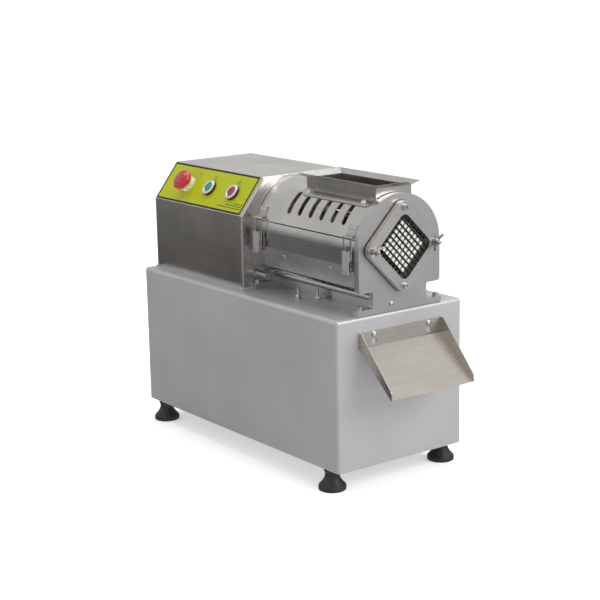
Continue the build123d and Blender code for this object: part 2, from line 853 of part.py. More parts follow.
# ---- knife cassette ----
def knife_pieces():
    """Knife frame with its spigot, crossed blades, fixing screws, studs and wing nuts."""
    outer = window_side + 2 * spigot_wall
    frame = diamond(knife_side, knife_r, front_face, front_face + knife_t)
    rim = frame.faces().sort_by(Axis.X)[-1]
    frame = chamfer(rim.edges(), knife_chamfer)
    frame += diamond(outer, window_r + spigot_wall - 0.5, front_face - spigot_depth, front_face)
    frame -= diamond(window_side, window_r, front_face - 10, front_face + knife_t + 1)
    for side in (-1, 1):
        y = side * knife_fixing_offset
        frame -= bar_x(stud_r + stud_clearance, front_face - 1, front_face + knife_t + 1, y, axis_z)
        frame -= bar_x(screw_r + screw_hole_gap, front_face - 1, front_face + knife_t + 1, 0, axis_z + y)
    save("knife_frame", frame)

    window = diamond(window_side - 0.02, window_r, front_face - 10, front_face + knife_t + 1)
    blades = []
    for layer, turn in ((0, 45), (1, -45)):
        x0 = front_face - spigot_depth + blade_setback + layer * (blade_depth + blade_layer_gap)
        for i in range(1, cells):
            line = (i - cells / 2) * cell_pitch
            strip = Pos(0, line) * Rectangle(2 * window_side, blade_t)
            blade = across(Pos(0, axis_z) * Rot(0, 0, turn) * strip, x0, x0 + blade_depth)
            blades.append(blade & window)
    save("knife_blades", *blades)

    screws = []
    for side in (-1, 1):
        z = axis_z + side * knife_fixing_offset
        screw = bar_x(screw_r, front_face + 0.5, front_face + knife_t, 0, z)
        top = front_face + knife_t + knife_screw_head_t
        head = bar_x(cap_head_r, front_face + knife_t, top, 0, z)
        head -= hex_x(socket_r, top - socket_depth, top + 1, 0, z)
        screws.append(screw + head)
    save("knife_screws", *screws)

    studs = []
    for side in (-1, 1):
        y = side * knife_fixing_offset
        stud = bar_x(stud_r, front_face - stud_root, front_face + knife_t + stud_reach, y, axis_z)
        studs.append(stud)
    save("knife_studs", *studs)

    x0 = front_face + knife_t + wing_gap
    for side, name in ((-1, "wing_nut_near"), (1, "wing_nut_far")):
        y = side * knife_fixing_offset
        hub = bar_x(wing_hub_r, x0, x0 + wing_hub_length)
        hub = chamfer(hub.edges().sort_by(Axis.X)[-1], wing_chamfer)
        for way in (-1, 1):
            root_y, root_x = wing_root
            wing = make_face(Polyline((way * root_y, root_x), (way * root_y, wing_height - 0.5),
                                      (way * wing_span, wing_height + wing_tip_rise),
                                      (way * (wing_span + 1), wing_height - wing_tip_drop),
                                      close=True))
            wing = Plane((x0, 0, wing_t / 2), x_dir=(0, 1, 0), z_dir=(0, 0, -1)) * wing
            hub += extrude(wing, wing_t)
        hub -= bar_x(stud_r + thread_clearance, x0 - 1, x0 + 2 * wing_hub_length)
        lean = wing_lean_near if side < 0 else wing_lean_far
        save(name, Pos(0, y, axis_z) * Rot(lean, 0, 0) * hub)


# ---- feed trough, pusher and its drive ----
def trough_pieces():
    """Folded V trough that leads the pusher to the knife, on two saddles."""
    inner = (window_side + trough_gap) / math.sqrt(2)
    wall = trough_t * math.sqrt(2)
    x0 = barrel_rear + trough_rear_x
    rise = axis_z + trough_rise
    outside = [(-inner - trough_t, rise), (-inner - trough_t, axis_z + trough_t - wall / 2),
               (0, axis_z - inner - wall), (inner + trough_t, axis_z + trough_t - wall / 2),
               (inner + trough_t, rise)]
    inside = [(inner, rise + 1), (inner, axis_z), (0, axis_z - inner), (-inner, axis_z),
              (-inner, rise + 1)]
    trough = across(make_face(Polyline(*outside, close=True)), x0, barrel_front)
    hollow = across(make_face(Polyline(*inside, close=True)), x0 - 1, barrel_front + 1)
    bed_top = deck + bed_height
    for x in (x0 + saddle_inset, barrel_front - saddle_inset):
        trough += block(x - saddle_t / 2, x + saddle_t / 2, -saddle_half_width,
                        saddle_half_width, bed_top, bed_top + saddle_height)
    save("feed_trough", trough - hollow)

    bush = bar_x(bush_r - 0.02, rear_plate_x + 1, rear_plate_x + 1 + bush_length, 0, axis_z)
    bush += bar_x(bush_flange_r, barrel_rear, barrel_rear + bush_flange_t, 0, axis_z)
    bush -= bar_x(rod_r + running, rear_plate_x, barrel_rear + bush_length, 0, axis_z)
    save("guide_bush", bush)


def pusher_pieces():
    """Push rod with its plate, toothed nylon head and clevis with the wrist pin."""
    tip = front_face + knife_t - tooth_setback
    block_front = tip - tooth_length
    block_rear = block_front - pusher_block_t
    plate_rear = block_rear - pusher_plate_t
    clevis_front = wrist_x + small_eye_r + 1 + clevis_root
    rod = bar_x(rod_r, clevis_front, plate_rear, 0, axis_z)
    rod += diamond(pusher_plate_side, window_r - 3, plate_rear, block_rear)
    save("push_rod", rod)

    limit = diamond(window_side - 2 * pusher_gap, window_r - pusher_gap, block_rear, tip)
    head = diamond(window_side - 2 * pusher_gap, window_r - pusher_gap, block_rear, block_front)
    tooth = cell_pitch - blade_t - 2 * tooth_gap
    rows = [(i - (cells - 1) / 2) * cell_pitch for i in range(toothless_rows, cells - toothless_rows)]
    grid = Sketch() + [Pos(across_x, across_y) * Rectangle(tooth, tooth)
                       for across_x in rows for across_y in rows]
    teeth = across(Pos(0, axis_z) * Rot(0, 0, 45) * grid, block_front - 0.5, tip)
    head += teeth & limit
    save("pusher_head", head)

    rear = wrist_x - small_eye_r - 3
    clevis = block(rear, clevis_front, -clevis_half_width, clevis_half_width,
                   axis_z - clevis_half_height, axis_z + clevis_half_height)
    gap = con_rod_t / 2 + clevis_slot_gap
    clevis -= block(rear - 1, wrist_x + small_eye_r + 1, -clevis_half_width - 1,
                    clevis_half_width + 1, axis_z - gap, axis_z + gap)
    clevis -= bar_z(wrist_pin_r + 0.02, axis_z - 40, axis_z + 40, wrist_x)
    pin = bar_z(wrist_pin_r, axis_z - clevis_half_height, axis_z + clevis_half_height, wrist_x)
    save("crosshead", clevis, pin)

    big_x = wrist_x - rod_ratio
    low = axis_z - con_rod_t / 2
    high = axis_z + con_rod_t / 2
    con = bar_z(small_eye_r, low, high, wrist_x) + bar_z(big_eye_r, low, high, big_x)
    con += block(big_x, wrist_x, -beam_width / 2, beam_width / 2, low, high)
    con -= bar_z(wrist_pin_r + running, low - 1, high + 1, wrist_x)
    con -= bar_z(crank_pin_r + 0.02, low - 1, high + 1, big_x)
    from_big, from_small, half, depth = beam_hollow
    con -= block(big_x + from_big, wrist_x - from_small, -half, half, high - depth, high + 1)
    crank_pin = bar_z(crank_pin_r, arm_top + crank_gap, high + crank_pin_above, big_x)
    save("connecting_rod", con, crank_pin)


def drive_pieces():
    """Crank on the reducer's upright shaft, reducer, pulleys, belt and motor."""
    arm_low = arm_top - crank_arm_t
    arm = bar_z(crank_hub_r, arm_low - crank_hub_drop, arm_top, crank_x)
    arm += bar_z(crank_end_r, arm_low, arm_top, crank_x + crank_r)
    arm += block(crank_x, crank_x + crank_r, -crank_end_r, crank_end_r, arm_low, arm_top)
    arm -= bar_z(output_shaft_r + 0.02, 0, arm_top + 1, crank_x)
    save("crank_arm", arm)
    shaft_low = deck_under - gearbox_depth / 2
    save("output_shaft", bar_z(output_shaft_r, shaft_low, arm_top, crank_x))

    x0 = crank_x - gearbox_half_x
    x1 = worm_x + gearbox_half_x - gearbox_front_cut
    case = block(x0, x1, -gearbox_half_y, gearbox_half_y, deck_under - gearbox_depth, deck_under)
    case = fillet(case.edges().filter_by(Axis.Z), gearbox_corner_r)
    case += block(x0 - gearbox_flange_out, x1 + gearbox_flange_out,
                  -gearbox_half_y - gearbox_flange_out, gearbox_half_y + gearbox_flange_out,
                  deck_under - gearbox_flange_t, deck_under)
    case += bar_z(gearbox_boss_r, deck_under - 1, deck + gearbox_boss_rise, crank_x)
    case -= bar_z(output_shaft_r + running, shaft_low - 1, deck + 40, crank_x)
    case -= bar_y(worm_shaft_r + running, -gearbox_half_y - 1, worm_end + 1, worm_x, shaft_z)
    save("gearbox_case", case)

    side = pulley_width / 2
    outer_end = pulley_y - side
    save("worm_shaft", bar_y(worm_shaft_r, outer_end, worm_end, worm_x, shaft_z))
    inner_end = motor_front_y + motor_shaft_in
    save("motor_shaft", bar_y(motor_shaft_r, outer_end, inner_end, motor_x, shaft_z))
    for x, radius, shaft, name in ((worm_x, big_pulley_r, worm_shaft_r, "input_pulley"),
                                   (motor_x, small_pulley_r, motor_shaft_r, "motor_pulley")):
        wheel = bar_y(radius, pulley_y - side, pulley_y + side, x, shaft_z)
        groove = bar_y(radius + 1, pulley_y - groove_width / 2, pulley_y + groove_width / 2,
                       x, shaft_z)
        groove -= bar_y(radius - groove_depth, pulley_y - side, pulley_y + side, x, shaft_z)
        wheel -= groove
        wheel -= bar_y(shaft + 0.02, pulley_y - side - 1, pulley_y + side + 1, x, shaft_z)
        save(name, wheel)

    big = big_pulley_r - groove_depth + belt_gap
    small = small_pulley_r - groove_depth + belt_gap
    belt = belt_loop(big + belt_t, small + belt_t, belt_width) - belt_loop(big, small, pulley_width)
    save("drive_belt", belt)

    back = motor_front_y + motor_length
    motor = bar_y(motor_r, motor_front_y, back, motor_x, shaft_z)
    motor += bar_y(motor_r - motor_fan_inset, back, back + motor_fan_length, motor_x, shaft_z)
    motor += block(motor_x - motor_pad_x / 2, motor_x + motor_pad_x / 2, -motor_pad_y / 2,
                   motor_pad_y / 2, shaft_z + motor_r - motor_pad_into, deck_under)
    box_x = motor_x - motor_r
    motor += block(box_x - motor_box_out, box_x + motor_box_in, motor_box_y,
                   motor_box_y + motor_box, shaft_z - motor_box / 2, shaft_z + motor_box / 2)
    motor -= bar_y(motor_shaft_r + running, motor_front_y - 1, motor_front_y + motor_shaft_in + 1,
                   motor_x, shaft_z)
    for x, y, radius in deck_bolt_places()[:4]:
        motor -= bar_z(radius + bolt_hole_gap, deck_under - motor_stud_under - 2, deck_under + 1,
                       x, y)
    save("motor", motor)


def belt_loop(big, small, width):
    """The space inside a belt that runs around two pulleys, as one flat-sided solid."""
    span = motor_x - worm_x
    lean = math.acos((big - small) / span)
    c, s = math.cos(lean), math.sin(lean)
    sides = [(worm_x + big * c, shaft_z + big * s), (motor_x + small * c, shaft_z + small * s),
             (motor_x + small * c, shaft_z - small * s), (worm_x + big * c, shaft_z - big * s)]
    flat = make_face(Polyline(*sides, close=True))
    face = flat + Pos(worm_x, shaft_z) * Circle(big) + Pos(motor_x, shaft_z) * Circle(small)
    return extrude(Plane.XZ.offset(-pulley_y - width / 2) * face, width)


# ---- toggle latches and cover hinge ----
def latch_pieces():
    """Two draw latches on the near side: base, lever, wire bail and keeper."""
    skin = -shell_r
    pivot_y = skin - latch_pivot_out
    pivot_z = deck + latch_pivot_height
    bail_z = pivot_z - bail_pivot_drop
    top_z = deck + bail_top_height
    bases = []
    keepers = []
    places = ((barrel_rear + latch_inset, "rear"), (barrel_front - latch_inset, "front"))
    for x, name in places:
        base = block(x - latch_base_half, x + latch_base_half, skin - latch_plate_t, skin,
                     deck + latch_base_bottom, deck + latch_base_top)
        base = fillet(base.edges().filter_by(Axis.Y), latch_base_round)
        for way in (-1, 1):
            low, high = sorted((way * ear_in, way * ear_out))
            ear = bar_x(ear_r, x + low, x + high, pivot_y, pivot_z)
            ear += block(x + low, x + high, pivot_y, skin - 1, pivot_z - ear_r, pivot_z + ear_r)
            base += ear
        base += bar_x(latch_pin_r, x - cheek_out, x + cheek_out, pivot_y, pivot_z)
        for up in latch_rivets:
            base += bar_y(latch_rivet_r, skin - latch_plate_t - latch_rivet_t, skin - 1, x,
                          deck + latch_base_bottom + up)
        bases.append(base)

        strap = skin - lever_strap_out
        lever = block(x - cheek_out, x + cheek_out, strap, strap + latch_plate_t,
                      pivot_z - lever_length, pivot_z + ear_r - 1)
        for way in (-1, 1):
            low, high = sorted((way * cheek_in, way * cheek_out))
            cheek = bar_x(ear_r - 0.5, x + low, x + high, pivot_y, pivot_z)
            cheek += block(x + low, x + high, strap, pivot_y + 1, bail_z - 4, pivot_z + ear_r - 1)
            lever += cheek
        lip = block(x - cheek_out, x + cheek_out, strap - lever_lip_out, strap + latch_plate_t,
                    pivot_z - lever_length - 1.5, pivot_z - lever_length)
        lever += lip
        lever -= bar_x(latch_pin_r + running, x - 20, x + 20, pivot_y, pivot_z)
        lever -= bar_x(bail_wire_r + running, x - 20, x + 20, pivot_y, bail_z)
        save(f"latch_lever_{name}", lever)

        half = bail_half_width
        wire = bar_x(bail_wire_r, x - half, x + half, pivot_y, top_z)
        for way in (-1, 1):
            wire += bar_z(bail_wire_r, bail_z, top_z, x + way * half, pivot_y)
            wire += Pos(x + way * half, pivot_y, top_z) * Sphere(bail_wire_r)
            wire += Pos(x + way * half, pivot_y, bail_z) * Sphere(bail_wire_r)
            low, high = sorted((way * (cheek_in + 0.1), way * half))
            wire += bar_x(bail_wire_r, x + low, x + high, pivot_y, bail_z)
        save(f"latch_bail_{name}", wire)

        seat = shell_r + keeper_seat
        turn = Pos(x, 0, axis_z) * Rot(-keeper_angle, 0, 0)
        plate = turn * block(-keeper_plate_half, keeper_plate_half, -seat - latch_plate_t, -seat,
                             -keeper_plate / 2, keeper_plate / 2)
        tip = pivot_y + bail_wire_r + keeper_gap
        root = -math.sqrt(shell_r ** 2 - (top_z - axis_z) ** 2) - 1.0
        nose = block(x - keeper_half, x + keeper_half, tip, root, top_z - keeper_nose_t / 2,
                     top_z + keeper_nose_t / 2)
        lip = block(x - keeper_half, x + keeper_half, tip, tip + keeper_lip_t, top_z,
                    top_z + keeper_lip)
        keepers.append(plate + nose + lip)
    save("latch_bases", *bases)
    save("latch_keepers", *keepers)


def hinge_pieces():
    """Piano hinge on the far side, between the side shell and the cover."""
    y = shell_r + hinge_out
    z = axis_z + shell_r * math.sin(math.radians(seam_angle))
    x0 = barrel_rear + hinge_end_inset
    x1 = barrel_front - hinge_end_inset
    step = (x1 - x0) / hinge_knuckles
    fixed = block(x0, x1, shell_r, shell_r + hinge_leaf_t, z - 6 - hinge_leaf_drop, z - 6)
    seat = shell_r + 0.1
    leaf = ring_sector(seat, seat + hinge_leaf_t, seam_angle + 4, seam_angle + 17, x0, x1)
    leaf = mirror(leaf, Plane.XZ)
    for i in range(hinge_knuckles):
        a = x0 + i * step + hinge_knuckle_gap / 2
        b = x0 + (i + 1) * step - hinge_knuckle_gap / 2
        knuckle = bar_x(hinge_knuckle_r, a, b, y, z)
        if i % 2 == 0:
            web = make_face(Polyline((shell_r, z - 9), (shell_r + hinge_leaf_t, z - 9),
                                     (y + 2, z - 2), (y, z), (y - 3, z - 2), (shell_r, z - 6),
                                     close=True))
            fixed += across(web, a, b) + knuckle
        else:
            low = math.radians(seam_angle + 4)
            high = math.radians(seam_angle + 7)
            outer = seat + hinge_leaf_t
            web = make_face(Polyline(
                (seat * math.cos(low), axis_z + seat * math.sin(low)),
                (seat * math.cos(high), axis_z + seat * math.sin(high)),
                (outer * math.cos(high), axis_z + outer * math.sin(high)),
                (y + 1, z + 3), (y, z), (y - 2, z + 2), close=True))
            leaf += across(web, a, b) + knuckle
    bore = bar_x(hinge_pin_r + running, x0 - 1, x1 + 1, y, z)
    save("hinge_fixed_leaf", fixed - bore)
    save("hinge_cover_leaf", leaf - bore)
    save("hinge_pin", bar_x(hinge_pin_r, x0, x1, y, z))


# ---- chute, sensor, gland and contactor ----
def chute_pieces():
    """Sheet chute: keyhole back plate, sloping floor and two tapering side walls."""
    half = chute_width / 2
    x0 = base_length + chute_gap
    x1 = x0 + chute_sheet
    tip_x = base_length + chute_reach
    top = base_floor + chute_top
    fold = base_floor + chute_fold
    lip = base_floor + chute_lip
    run = math.hypot(tip_x - x1, fold - lip)
    down_x = (tip_x - x1) / run
    down_z = (lip - fold) / run
    under = chute_sheet
    floor = Polyline((x1, fold), (tip_x, lip), (tip_x + under * down_z, lip - under * down_x),
                     (x0, fold - under), (x0, top), (x1, top), close=True)
    sheet = extrude(Plane.XZ.offset(-half) * make_face(floor), 2 * half)
    wall = Polyline((x0, fold - under), (x0, fold + chute_wall_foot),
                    (x1 + 4, fold + chute_wall_foot),
                    (tip_x - 1, lip + chute_wall_nose), (tip_x, lip),
                    (tip_x + under * down_z, lip - under * down_x), close=True)
    side = extrude(Plane.XZ.offset(half - chute_sheet) * make_face(wall), chute_sheet)
    nose = side.edges().filter_by(Axis.Y).sort_by(Axis.X)[-3:]
    side = fillet(nose.sort_by(Axis.Z)[-1], 5)
    chute = sheet
    for wall_piece in both_sides(side):
        chute += wall_piece
    for y in (-chute_screw_y, chute_screw_y):
        z = base_floor + chute_screw_height
        chute -= bar_x(keyhole_w / 2, x0 - 1, x1 + 1, y, z)
        chute -= block(x0 - 1, x1 + 1, y - keyhole_w / 2, y + keyhole_w / 2, z - keyhole_drop, z)
        chute -= bar_x(keyhole_r, x0 - 1, x1 + 1, y, z - keyhole_drop)
    save("chute", chute)


def small_pieces():
    """Cover sensor, cable gland and contactor."""
    z = deck + sensor_height
    sensor = bar_x(sensor_r, housing_front - sensor_inside, housing_front + sensor_reach, sensor_y, z)
    sensor += hex_x(sensor_nut_r, housing_front, housing_front + sensor_nut_t, sensor_y, z)
    save("cover_sensor", sensor)

    z = base_floor + gland_height
    gland = hex_x(gland_hex_r, -gland_hex_t, 0, gland_y, z)
    gland += bar_x(gland_hex_r - gland_cap_inset, -gland_reach, -gland_hex_t, gland_y, z)
    gland = fillet(gland.edges().sort_by(Axis.X)[0], gland_cap_round)
    gland += bar_x(gland_thread_r, -1, gland_inside, gland_y, z)
    gland += hex_x(gland_hex_r, base_sheet, base_sheet + gland_nut_t, gland_y, z)
    gland -= bar_x(gland_bore_r, -gland_reach - 1, gland_inside + 1, gland_y, z)
    save("cable_gland", gland)

    length, width, height = contactor_size
    x, y = contactor_place
    low = base_floor + pan_sheet
    body = block(x - length / 2, x + length / 2, y - width / 2, y + width / 2, low, low + height)
    body -= block(x - length / 2 - 1, x + length / 2 + 1, y - contactor_notch_half,
                  y + contactor_notch_half, low + height - contactor_notch_depth, low + height + 1)
    save("contactor", body)


base_pieces()
feet_pieces()
deck_bolt_pieces()
housing_pieces()
pan_head_pieces()
panel_pieces()
plate_pieces()
shell_pieces()
hopper_pieces()
knife_pieces()
trough_pieces()
pusher_pieces()
drive_pieces()
latch_pieces()
hinge_pieces()
chute_pieces()
small_pieces()
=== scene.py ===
import json
import math

import bmesh
import bpy
from mathutils import Matrix, Vector


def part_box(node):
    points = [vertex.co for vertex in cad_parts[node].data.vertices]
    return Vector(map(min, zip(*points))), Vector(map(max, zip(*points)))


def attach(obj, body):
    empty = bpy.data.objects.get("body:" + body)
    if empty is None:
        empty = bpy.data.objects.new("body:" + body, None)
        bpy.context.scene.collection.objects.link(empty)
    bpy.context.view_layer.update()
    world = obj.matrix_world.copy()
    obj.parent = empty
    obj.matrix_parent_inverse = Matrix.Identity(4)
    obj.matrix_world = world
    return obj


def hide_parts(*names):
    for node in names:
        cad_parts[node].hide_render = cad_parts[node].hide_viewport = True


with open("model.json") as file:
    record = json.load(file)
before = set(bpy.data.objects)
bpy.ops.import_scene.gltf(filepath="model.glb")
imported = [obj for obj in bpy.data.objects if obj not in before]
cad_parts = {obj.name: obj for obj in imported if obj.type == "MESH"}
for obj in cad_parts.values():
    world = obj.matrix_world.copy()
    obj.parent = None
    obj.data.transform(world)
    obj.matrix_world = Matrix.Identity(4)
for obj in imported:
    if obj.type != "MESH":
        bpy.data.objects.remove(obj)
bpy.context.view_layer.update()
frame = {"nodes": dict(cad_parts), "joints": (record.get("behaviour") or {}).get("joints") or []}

# ---- camera, floor and light ----
# The machine stands on a plain pale floor, seen three-quarter from its switch side. A large
# soft light hangs in front of the chute, and the room above the horizon is bright.
azimuth, elevation, roll = (math.radians(a) for a in (53.401, 12.919, -1.1))
level = Vector((math.cos(azimuth), math.sin(azimuth), 0))
back = Vector((math.sin(azimuth) * math.cos(elevation),
               -math.cos(azimuth) * math.cos(elevation), math.sin(elevation)))
above = back.cross(level)
across = level * math.cos(roll) + above * math.sin(roll)
upward = above * math.cos(roll) - level * math.sin(roll)
eye = bpy.data.cameras.new("eye")
eye.sensor_width = 36.0
eye.lens = 92.63
eye.clip_start = 0.05
eye.clip_end = 100.0
camera = bpy.data.objects.new("eye", eye)
camera.matrix_world = (Matrix.Translation((2.1921, -1.6409, 0.8987))
                       @ Matrix((across, upward, back)).transposed().to_4x4())
bpy.context.scene.collection.objects.link(camera)
bpy.context.scene.camera = camera
bpy.context.scene.view_settings.view_transform = "Standard"


def link(thing):
    """Put an object in the scene."""
    bpy.context.scene.collection.objects.link(thing)
    return thing


def soft_light(name, place, target, size, power, colour):
    """A square softbox at a place, facing a target."""
    lamp = bpy.data.lights.new(name, "AREA")
    lamp.size = size
    lamp.energy = power
    lamp.color = colour
    light = link(bpy.data.objects.new(name, lamp))
    aim = Vector(target) - Vector(place)
    turn = aim.to_track_quat("-Z", "Y").to_matrix().to_4x4()
    light.matrix_world = Matrix.Translation(place) @ turn
    return light


soft_light("front_softbox", (2.6, 1.0, 1.9), (0, 0, 0.25), 1.8, 48, (1.0, 0.985, 0.96))
soft_light("top_softbox", (-0.4, 0.5, 2.6), (0, 0, 0.3), 2.2, 34, (0.98, 0.99, 1.0))
soft_light("side_softbox", (-1.0, -2.6, 1.3), (0, 0, 0.3), 1.6, 3, (1.0, 0.97, 0.93))

room = bpy.data.worlds.new("room")
bpy.context.scene.world = room
room.use_nodes = True
nodes, links = room.node_tree.nodes, room.node_tree.links
where = nodes.new("ShaderNodeTexCoord")
parts = nodes.new("ShaderNodeSeparateXYZ")
links.new(where.outputs["Generated"], parts.inputs[0])
bright_side = nodes.new("ShaderNodeVectorMath")
bright_side.operation = "DOT_PRODUCT"
bright_side.inputs[1].default_value = (1.0, 0.8, 0.0)
links.new(where.outputs["Generated"], bright_side.inputs[0])


def eased(value, first, last):
    """A smooth 0 to 1 step of a world direction's value between two of its values."""
    step = nodes.new("ShaderNodeMapRange")
    step.interpolation_type = "SMOOTHSTEP"
    step.inputs["From Min"].default_value = first
    step.inputs["From Max"].default_value = last
    links.new(value, step.inputs["Value"])
    return step.outputs["Result"]


def mixed(first, second, factor):
    """A blend from one world colour, or the output of an earlier blend, to another colour."""
    blend = nodes.new("ShaderNodeMix")
    blend.data_type = "RGBA"
    if isinstance(first, tuple):
        blend.inputs["A"].default_value = (*first, 1)
    else:
        links.new(first, blend.inputs["A"])
    blend.inputs["B"].default_value = (*second, 1)
    links.new(factor, blend.inputs["Factor"])
    return blend.outputs["Result"]


walls = mixed((0.055, 0.050, 0.047), (0.50, 0.50, 0.52),
              eased(bright_side.outputs["Value"], -0.3, 1.1))
below = mixed(walls, (0.72, 0.71, 0.71), eased(parts.outputs["Z"], -0.38, -0.62))
sky = mixed(below, (0.64, 0.635, 0.63), eased(parts.outputs["Z"], -0.20, -0.02))
links.new(sky, nodes["Background"].inputs["Color"])

sweep = bmesh.new()
bmesh.ops.create_grid(sweep, x_segments=8, y_segments=8, size=30.0)
floor_mesh = bpy.data.meshes.new("floor")
sweep.to_mesh(floor_mesh)
sweep.free()
floor = link(bpy.data.objects.new("floor", floor_mesh))
floor.visible_glossy = False
pale = bpy.data.materials.new("pale_floor")
pale.use_nodes = True
nodes, links = pale.node_tree.nodes, pale.node_tree.links
shader = nodes["Principled BSDF"]
shader.inputs["Roughness"].default_value = 0.9
shader.inputs["Specular IOR Level"].default_value = 0.0
shader.inputs["Emission Color"].default_value = (1, 1, 1, 1)
shader.inputs["Emission Strength"].default_value = 0.42
cloud = nodes.new("ShaderNodeTexNoise")
cloud.inputs["Scale"].default_value = 1.5
shade = nodes.new("ShaderNodeValToRGB")
shade.color_ramp.elements[0].color = (0.93, 0.93, 0.93, 1)
shade.color_ramp.elements[1].color = (0.96, 0.96, 0.96, 1)
links.new(cloud.outputs["Fac"], shade.inputs["Fac"])
links.new(shade.outputs["Color"], shader.inputs["Base Color"])
floor_mesh.materials.append(pale)


# ---- cabinet ----
# The base is one folded and welded sheet box with softly rounded top edges, in a fine
# silver-grey satin finish. A thick plate stiffens its deck and a slotted pan closes it below.
def finish(name, colour, roughness, metallic=0.0, grain=(300, 300, 300), spread=0.06, tint=0.08,
           cloud_size=7.0, bump=0.15, depth=0.0001, coat=0.0, coat_roughness=0.1, specular=0.5,
           streak=0.12):
    """A surface finish: grain lines in roughness and relief, and a soft cloudy tint."""
    material = bpy.data.materials.new(name)
    material.use_nodes = True
    nodes, links = material.node_tree.nodes, material.node_tree.links
    shader = nodes["Principled BSDF"]
    shader.inputs["Metallic"].default_value = metallic
    shader.inputs["Specular IOR Level"].default_value = specular
    shader.inputs["Coat Weight"].default_value = coat
    shader.inputs["Coat Roughness"].default_value = coat_roughness
    place = nodes.new("ShaderNodeTexCoord")
    stretch = nodes.new("ShaderNodeMapping")
    stretch.inputs["Scale"].default_value = grain
    links.new(place.outputs["Object"], stretch.inputs["Vector"])
    lines = nodes.new("ShaderNodeTexNoise")
    lines.inputs["Scale"].default_value = 1.0
    lines.inputs["Detail"].default_value = 4.0
    lines.inputs["Roughness"].default_value = 0.65
    links.new(stretch.outputs["Vector"], lines.inputs["Vector"])
    rough = nodes.new("ShaderNodeMapRange")
    rough.inputs["From Min"].default_value = 0.3
    rough.inputs["From Max"].default_value = 0.7
    rough.inputs["To Min"].default_value = roughness - spread
    rough.inputs["To Max"].default_value = roughness + spread
    links.new(lines.outputs["Fac"], rough.inputs["Value"])
    links.new(rough.outputs["Result"], shader.inputs["Roughness"])
    clouds = nodes.new("ShaderNodeTexNoise")
    clouds.inputs["Scale"].default_value = cloud_size
    clouds.inputs["Detail"].default_value = 3.0
    links.new(place.outputs["Object"], clouds.inputs["Vector"])
    blend = nodes.new("ShaderNodeMath")
    blend.operation = "MULTIPLY_ADD"
    blend.inputs[1].default_value = streak
    links.new(lines.outputs["Fac"], blend.inputs[0])
    links.new(clouds.outputs["Fac"], blend.inputs[2])
    ramp = nodes.new("ShaderNodeValToRGB")
    ramp.color_ramp.elements[0].position = 0.32 + streak / 2
    ramp.color_ramp.elements[1].position = 0.68 + streak / 2
    ramp.color_ramp.elements[0].color = (*(c * (1 - tint) for c in colour), 1)
    ramp.color_ramp.elements[1].color = (*(min(1, c * (1 + tint)) for c in colour), 1)
    links.new(blend.outputs["Value"], ramp.inputs["Fac"])
    links.new(ramp.outputs["Color"], shader.inputs["Base Color"])
    relief = nodes.new("ShaderNodeBump")
    relief.inputs["Strength"].default_value = bump
    relief.inputs["Distance"].default_value = depth
    links.new(lines.outputs["Fac"], relief.inputs["Height"])
    links.new(relief.outputs["Normal"], shader.inputs["Normal"])
    return material


def dress(material, *names):
    """Give CAD nodes a finish."""
    for name in names:
        for place in frame["nodes"][name].material_slots:
            place.material = material


satin = finish("cabinet_satin", (0.50, 0.50, 0.52), 0.42, metallic=0.55, grain=(3, 420, 420),
               spread=0.05, tint=0.05, bump=0.10)
dress(satin, "base_shell")
ground = finish("ground_plate_steel", (0.50, 0.50, 0.50), 0.38, metallic=1.0,
                grain=(260, 8, 260), tint=0.07)
dress(ground, "deck_plate")
dress(finish("floor_pan_steel", (0.42, 0.42, 0.43), 0.45, metallic=1.0, grain=(4, 300, 300)),
      "base_floor_pan")


# ---- rubber feet ----
# Four black rubber feet flare from a narrow neck to a thick rounded rim, with moulded rings.
# A bolt through each neck, locked by a nut inside, holds it to the floor pan.
def solid(name, build, smooth=38.0):
    """Turn a bmesh into a closed, smooth-shaded mesh object with crisp corners."""
    bmesh.ops.recalc_face_normals(build, faces=build.faces)
    mesh = bpy.data.meshes.new(name)
    build.to_mesh(mesh)
    build.free()
    mesh.polygons.foreach_set("use_smooth", [True] * len(mesh.polygons))
    mesh.set_sharp_from_angle(angle=math.radians(smooth))
    return link(bpy.data.objects.new(name, mesh))


def turned(build, outline, sides=48, matrix=Matrix.Identity(4), ring=False):
    """Turn an outline of (radius, height) points about Z; a ring outline joins its two ends."""
    rows = []
    for radius, height in outline:
        count = sides if radius > 1e-6 else 1
        rows.append([build.verts.new(matrix @ Vector((
            radius * math.cos(math.tau * k / sides), radius * math.sin(math.tau * k / sides),
            height))) for k in range(count)])
    faces = []
    pairs = list(zip(rows, rows[1:])) + ([(rows[-1], rows[0])] if ring else [])
    for one, two in pairs:
        for k in range(sides):
            corners = dict.fromkeys((one[k % len(one)], one[(k + 1) % len(one)],
                                     two[(k + 1) % len(two)], two[k % len(two)]))
            if len(corners) > 2:
                faces.append(build.faces.new(list(corners)))
    return faces


def stitch(build, rows, closed=False):
    """Skin rows of points that each run round in a ring; closed also joins last to first."""
    for one, two in zip(rows, rows[1:] + (rows[:1] if closed else [])):
        for k in range(len(one)):
            build.faces.new((one[k - 1], one[k], two[k], two[k - 1]))


def solids_of(node):
    """Lowest and highest corner of each separate solid in a CAD node, rear to front."""
    mesh = frame["nodes"][node].data
    keys = [tuple(round(c * 2e5) for c in vertex.co) for vertex in mesh.vertices]
    leader = {key: key for key in keys}

    def root(key):
        while leader[key] != key:
            leader[key] = leader[leader[key]]
            key = leader[key]
        return key

    for polygon in mesh.polygons:
        first = root(keys[polygon.vertices[0]])
        for index in polygon.vertices[1:]:
            leader[root(keys[index])] = first
    groups = {}
    for vertex, key in zip(mesh.vertices, keys):
        groups.setdefault(root(key), []).append(vertex.co)
    boxes = [(Vector(map(min, *points)), Vector(map(max, *points))) for points in groups.values()]
    return sorted(boxes, key=lambda box: (round(box[0].x, 4), round(box[0].y, 4), box[0].z))


